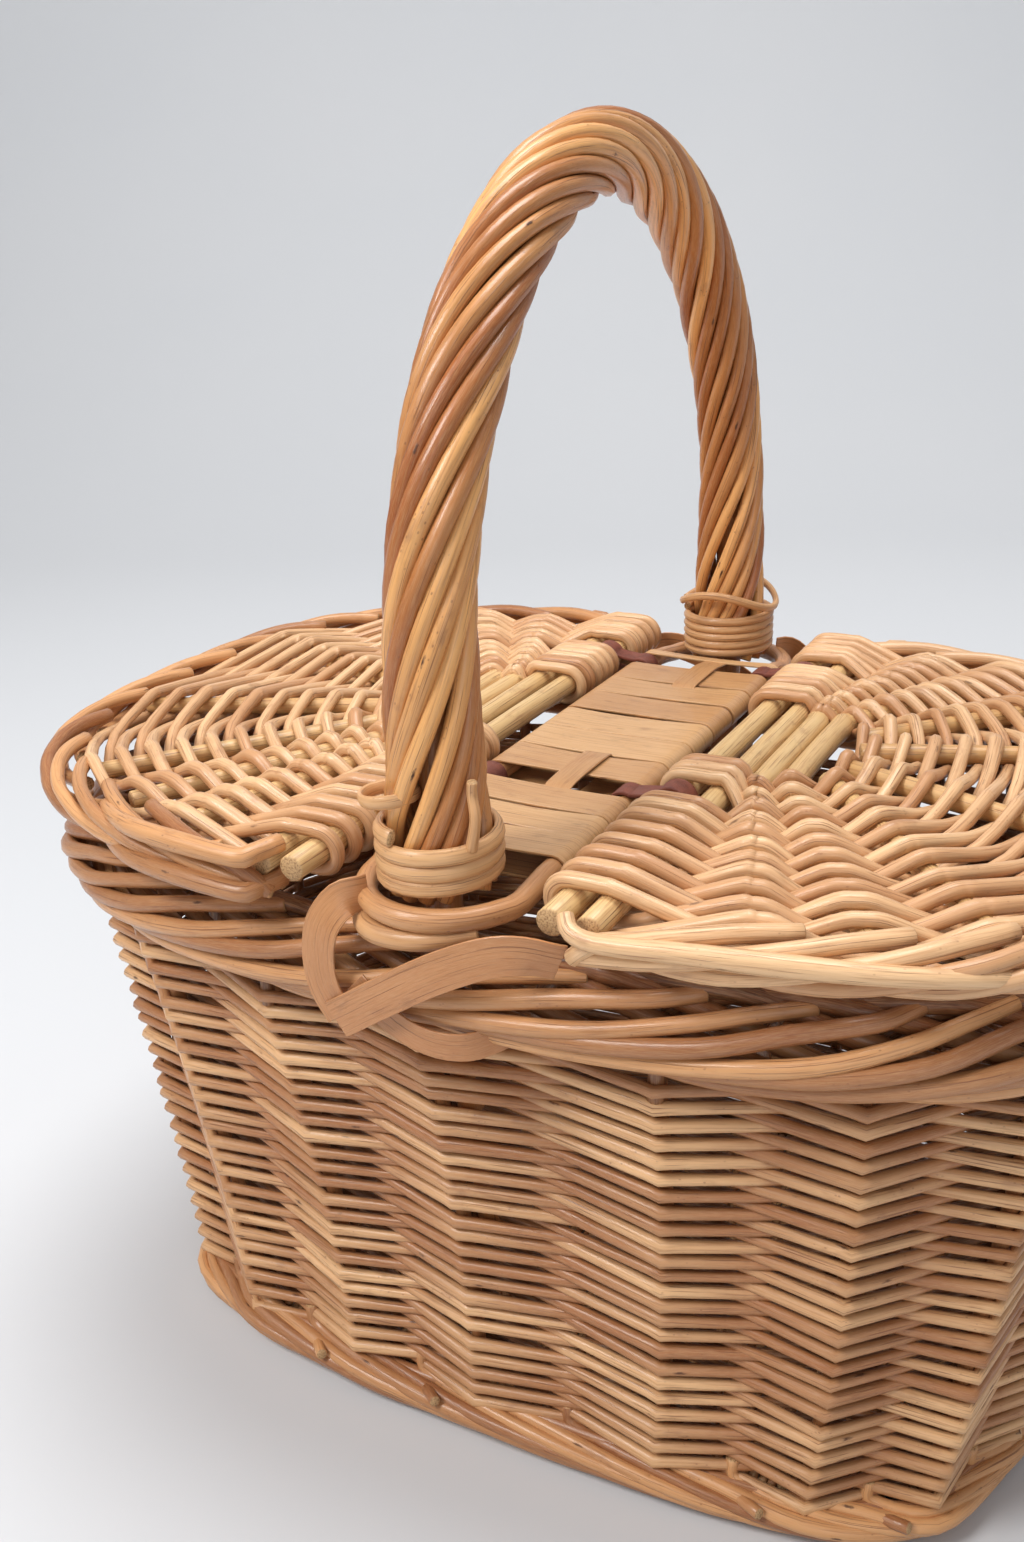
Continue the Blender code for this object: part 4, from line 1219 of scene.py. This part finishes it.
# %% [markdown]
# ## Lid sticks
# The sticks are thicker, peeled and paler than the weavers. They taper as they fan out, and
# their sawn ends show a ring of bark and a pith.

# %% Lid sticks
BORDER_ROOM = 0.0175  # a fanned stick stops this far inside the lid's edge
STICK_TIP, STICK_SPREAD_ROOT = 0.0030, 0.0036
STICK_END = 0.1345


def to_the_border(one, two):
    """The last place on the way from one point to another that is still inside the border."""
    one, two = np.array(one, float), np.array(two, float)
    for share in np.linspace(1, 0, 200):
        place = one + (two - one) * share
        edge = np.abs(place) / (LID_HALF_LENGTH - BORDER_ROOM, LID_HALF_WIDTH - BORDER_ROOM)
        if (edge**LID_SQUARENESS).sum() < 1:
            return place
    return one


def lid_sticks(side, name):
    straight = (-STICK_END, -0.06, 0.02, 0.08, STICK_END)
    runs = [[(x, y, 0) for y in straight] for x in (STICK_X, SECOND_STICK_X)]
    for near, far in ((0, 7), (1, 6)):
        ends = [to_the_border(POSTS[k][1], POSTS[k][2]) for k in (near, far)]
        middle = [(*POSTS[near][1], 0), (*POSTS[near][0], 0), (*POSTS[far][0], 0), (*POSTS[far][1], 0)]
        runs.append([(*ends[0], 0)] + middle + [(*ends[1], 0)])
    for k in (2, 5, 3, 4):
        one, two = np.array(POSTS[k][0]), to_the_border(POSTS[k][0], POSTS[k][2])
        runs.append([(*one, 0), (*((one + two) / 2), 0), (*two, 0)])
    for number, run in enumerate(runs):
        bundle = Bundle(860 + number + (20 if side < 0 else 0))
        path = [(side * x, y, STICK_HEIGHT + z) for x, y, z in run]
        thick = [STICK_RADIUS] if number < 2 else [STICK_TIP, STICK_RADIUS, STICK_RADIUS, STICK_TIP]
        if number > 3:
            thick = [STICK_SPREAD_ROOT, STICK_TIP]
        bundle.rod(path, thick, 5, 12, wobble=0.015, tone=0.15 * number)
        stands_for = [f"{name}_stick_{number + 1}"] if number < 6 else []
        bundle.piece(f"{name}_stick_rod_{number + 1}", PALE_WILLOW, name, stands_for, "peeled_stick")


for side, name in ((1, "right_lid"), (-1, "left_lid")):
    lid_sticks(side, name)

# %% [markdown]
# ## Lid border
# The stakes of a lid are turned down round its edge as on the rim: each rod starts beside the
# weave, comes out underneath, climbs up the outside and goes in again on top.

# %% Lid border
LID_BORDER_HEIGHT = 0.2232
BORDER_ROD = 0.0026
BORDER_STEP = 0.028
BORDER_ROUTE = (  # steps on, outwards, height
    (0.0, -0.0075, -0.0010),
    (0.5, -0.0040, -0.0036),
    (1.0, 0.0004, -0.0046),
    (1.6, 0.0034, -0.0034),
    (2.1, 0.0042, -0.0006),
    (2.7, 0.0034, 0.0026),
    (3.2, 0.0008, 0.0048),
    (3.7, -0.0036, 0.0058),
    (4.2, -0.0085, 0.0048),
)
BORDER_STEPS = BORDER_ROUTE[-1][0]
FIRST_BORDER_ROD = -3.4  # steps before the hinge corner; such a rod shows only its later part
BORDER_INSET = 0.0068  # middle of the border inside the lid's edge
BORDER_START_X = 0.0560
border_line = lid_curve(LID_HALF_LENGTH - BORDER_INSET, LID_HALF_WIDTH - BORDER_INSET, BORDER_START_X, 400)
border_run = distances(border_line)


def on_the_border(distance):
    return np.array([np.interp(distance, border_run, border_line[:, k]) for k in (0, 1)])


def beside_the_border(distance, outward, height):
    """A place beside the middle of the border, a distance on from the near hinge corner."""
    run = on_the_border(distance + 0.001) - on_the_border(distance - 0.001)
    run = run / np.linalg.norm(run)
    return (*(on_the_border(distance) + np.array((run[1], -run[0])) * outward), height)


def under_the_sticks(y):
    """Where a border rod is tucked in at the hinge."""
    return (SECOND_STICK_X - 0.004, y, STICK_HEIGHT - 0.0080)


def lid_border(side, name, finish):
    steps, outs, highs = zip(*BORDER_ROUTE)
    for half in range(2):
        bundle = Bundle(900 + half + (10 if side < 0 else 0))
        count = int((border_run[-1] / BORDER_STEP) - FIRST_BORDER_ROD)
        for j in range(half, count, 2):
            begin = (FIRST_BORDER_ROD + j) * BORDER_STEP
            path = []
            for step in np.arange(0.0, BORDER_STEPS + 0.01, 0.3):
                distance = begin + step * BORDER_STEP
                if 0 <= distance <= border_run[-1]:
                    out, high = np.interp(step, steps, outs), np.interp(step, steps, highs)
                    path.append(beside_the_border(distance, out, LID_BORDER_HEIGHT + high))
            if len(path) > 5 and begin < 0:
                path.insert(0, under_the_sticks(path[0][1] + 0.003))
            if len(path) > 5 and begin + BORDER_STEPS * BORDER_STEP > border_run[-1]:
                path.append(under_the_sticks(path[-1][1] - 0.003))
            if len(path) > 4:
                path = [(side * x, y, z) for x, y, z in path]
                bundle.rod(path, BORDER_ROD * bundle.chance.uniform(0.92, 1.06), 2, 10)
        bundle.piece(f"{name}_border_rods_{half + 1}", finish, name, [f"{name}_border"], "willow")


for side, name, finish in ((1, "right_lid", LID_WILLOW), (-1, "left_lid", RIM_WILLOW)):
    lid_border(side, name, finish)

# %% [markdown]
# At the near corners the last border rods have nothing left to tuck under. On the right lid a
# pale one is brought round the end of the second stick and laid outside the others; on the left
# lid two are kinked round the corner and cut off short.

# %% Corner rods
def along_the_edge(x, inset, height):
    """A place beside a lid's outline: how far out from the hinge, how far inside the edge."""
    reach = (1 - (abs(x) / LID_HALF_LENGTH) ** LID_SQUARENESS) ** (1 / LID_SQUARENESS)
    return (x, inset - LID_HALF_WIDTH * reach, height)


bundle = Bundle(940)
turned = [(0.0470, -0.1375, 0.2290), (0.0500, -0.1405, 0.2262)]
for x, inset, height in (
    (0.058, 0.0010, 0.2250), (0.079, 0.0008, 0.2262), (0.105, 0.0010, 0.2262),
    (0.130, 0.0016, 0.2250), (0.150, 0.0040, 0.2228), (0.162, 0.0090, 0.2196),
):
    turned.append(along_the_edge(x, inset, height))
bundle.rod(turned, (0.0024, 0.0031, 0.0022), 3, 10, tone=0.0)
bundle.piece("right_lid_corner_rod", LID_WILLOW, "right_lid", [], "willow")

bundle = Bundle(941)
for height in (0.2290, 0.2180):
    kinked = [(-0.0480, -0.1300, height + 0.0006), (-0.0515, -0.1385, height)]
    for x, inset, drop in (
        (-0.055, 0.0006, 0.0004), (-0.078, 0.0000, 0.0000), (-0.098, 0.0012, 0.0006),
        (-0.112, 0.0052, 0.0016), (-0.122, 0.0100, 0.0030),
    ):
        kinked.append(along_the_edge(x, inset, height - drop))
    bundle.rod(kinked, (0.0030, 0.0033, 0.0024), 3, 10)
bundle.piece("left_lid_corner_rods", RIM_WILLOW, "left_lid", [], "willow")

# %% [markdown]
# ## Leather loops
# Four soft leather straps tie the lids to the bridge. Each is a figure eight: one eye sits tight
# on the rail and the lid's inner stick turns in the other. The leather is dyed red brown, its
# grain side out, a little polished where it rubs.

# %% Leather
def leather():
    finish = Finish("red_leather")
    place = finish.node("ShaderNodeTexCoord")["Object"]
    cracks = finish.cells(place, 1500, "DISTANCE_TO_EDGE").between(0.0, 0.18)
    patch = finish.noise(place, 260, 3)
    wear = finish.noise(place, 90, 2).between(0.45, 0.75)
    colour = finish.mix(patch.between(0.3, 0.7), (0.150, 0.036, 0.022), (0.235, 0.066, 0.040))
    colour = finish.mix(wear * 0.45, colour, (0.270, 0.105, 0.070))
    finish.bump(cracks * 0.6 + patch * 0.8, 0.5, 0.00025)
    return finish.surface(base_color=colour, roughness=0.42 + patch * 0.2, specular_ior_level=0.4)


RED_LEATHER = leather()
LEATHER_THICK, LOOP_WIDTH = 0.0013, 0.0088
RAIL_EYE, STICK_EYE = 0.0046, 0.0056  # from the middle of the rod to the middle of the leather


def leather_line(side, y):
    """Once round both eyes, crossing between them."""
    rail, stick = np.array((RAIL_X, RAIL_HEIGHT)), np.array((STICK_X, STICK_HEIGHT))
    along = (stick - rail) / np.linalg.norm(stick - rail)
    up = np.array((-along[1], along[0]))
    round_rail, round_stick = np.linspace(0.75, 2 * pi - 0.75, 17), np.linspace(pi + 0.62, 3 * pi - 0.62, 19)
    line = [rail + RAIL_EYE * (along * cos(a) + up * sin(a)) for a in round_rail]
    line += [stick + STICK_EYE * (along * cos(a) + up * sin(a)) for a in round_stick]
    line.append(line[0] + (line[1] - line[0]) * 0.5)
    return [(side * x, y, z) for x, z in line]


for side, name in ((1, "right_lid"), (-1, "left_lid")):
    for y, where in zip(LOOP_PLACES, ("near", "far")):
        across = (0.0, 1.0, 0.0)
        line = leather_line(side, y)
        label = f"{name}_leather_{where}"
        strap = ribbon(label, RED_LEATHER, line, across, LOOP_WIDTH, LEATHER_THICK, 950, columns=6)
        join_basket(strap, "basket", [f"{name}_loop_{where}"])
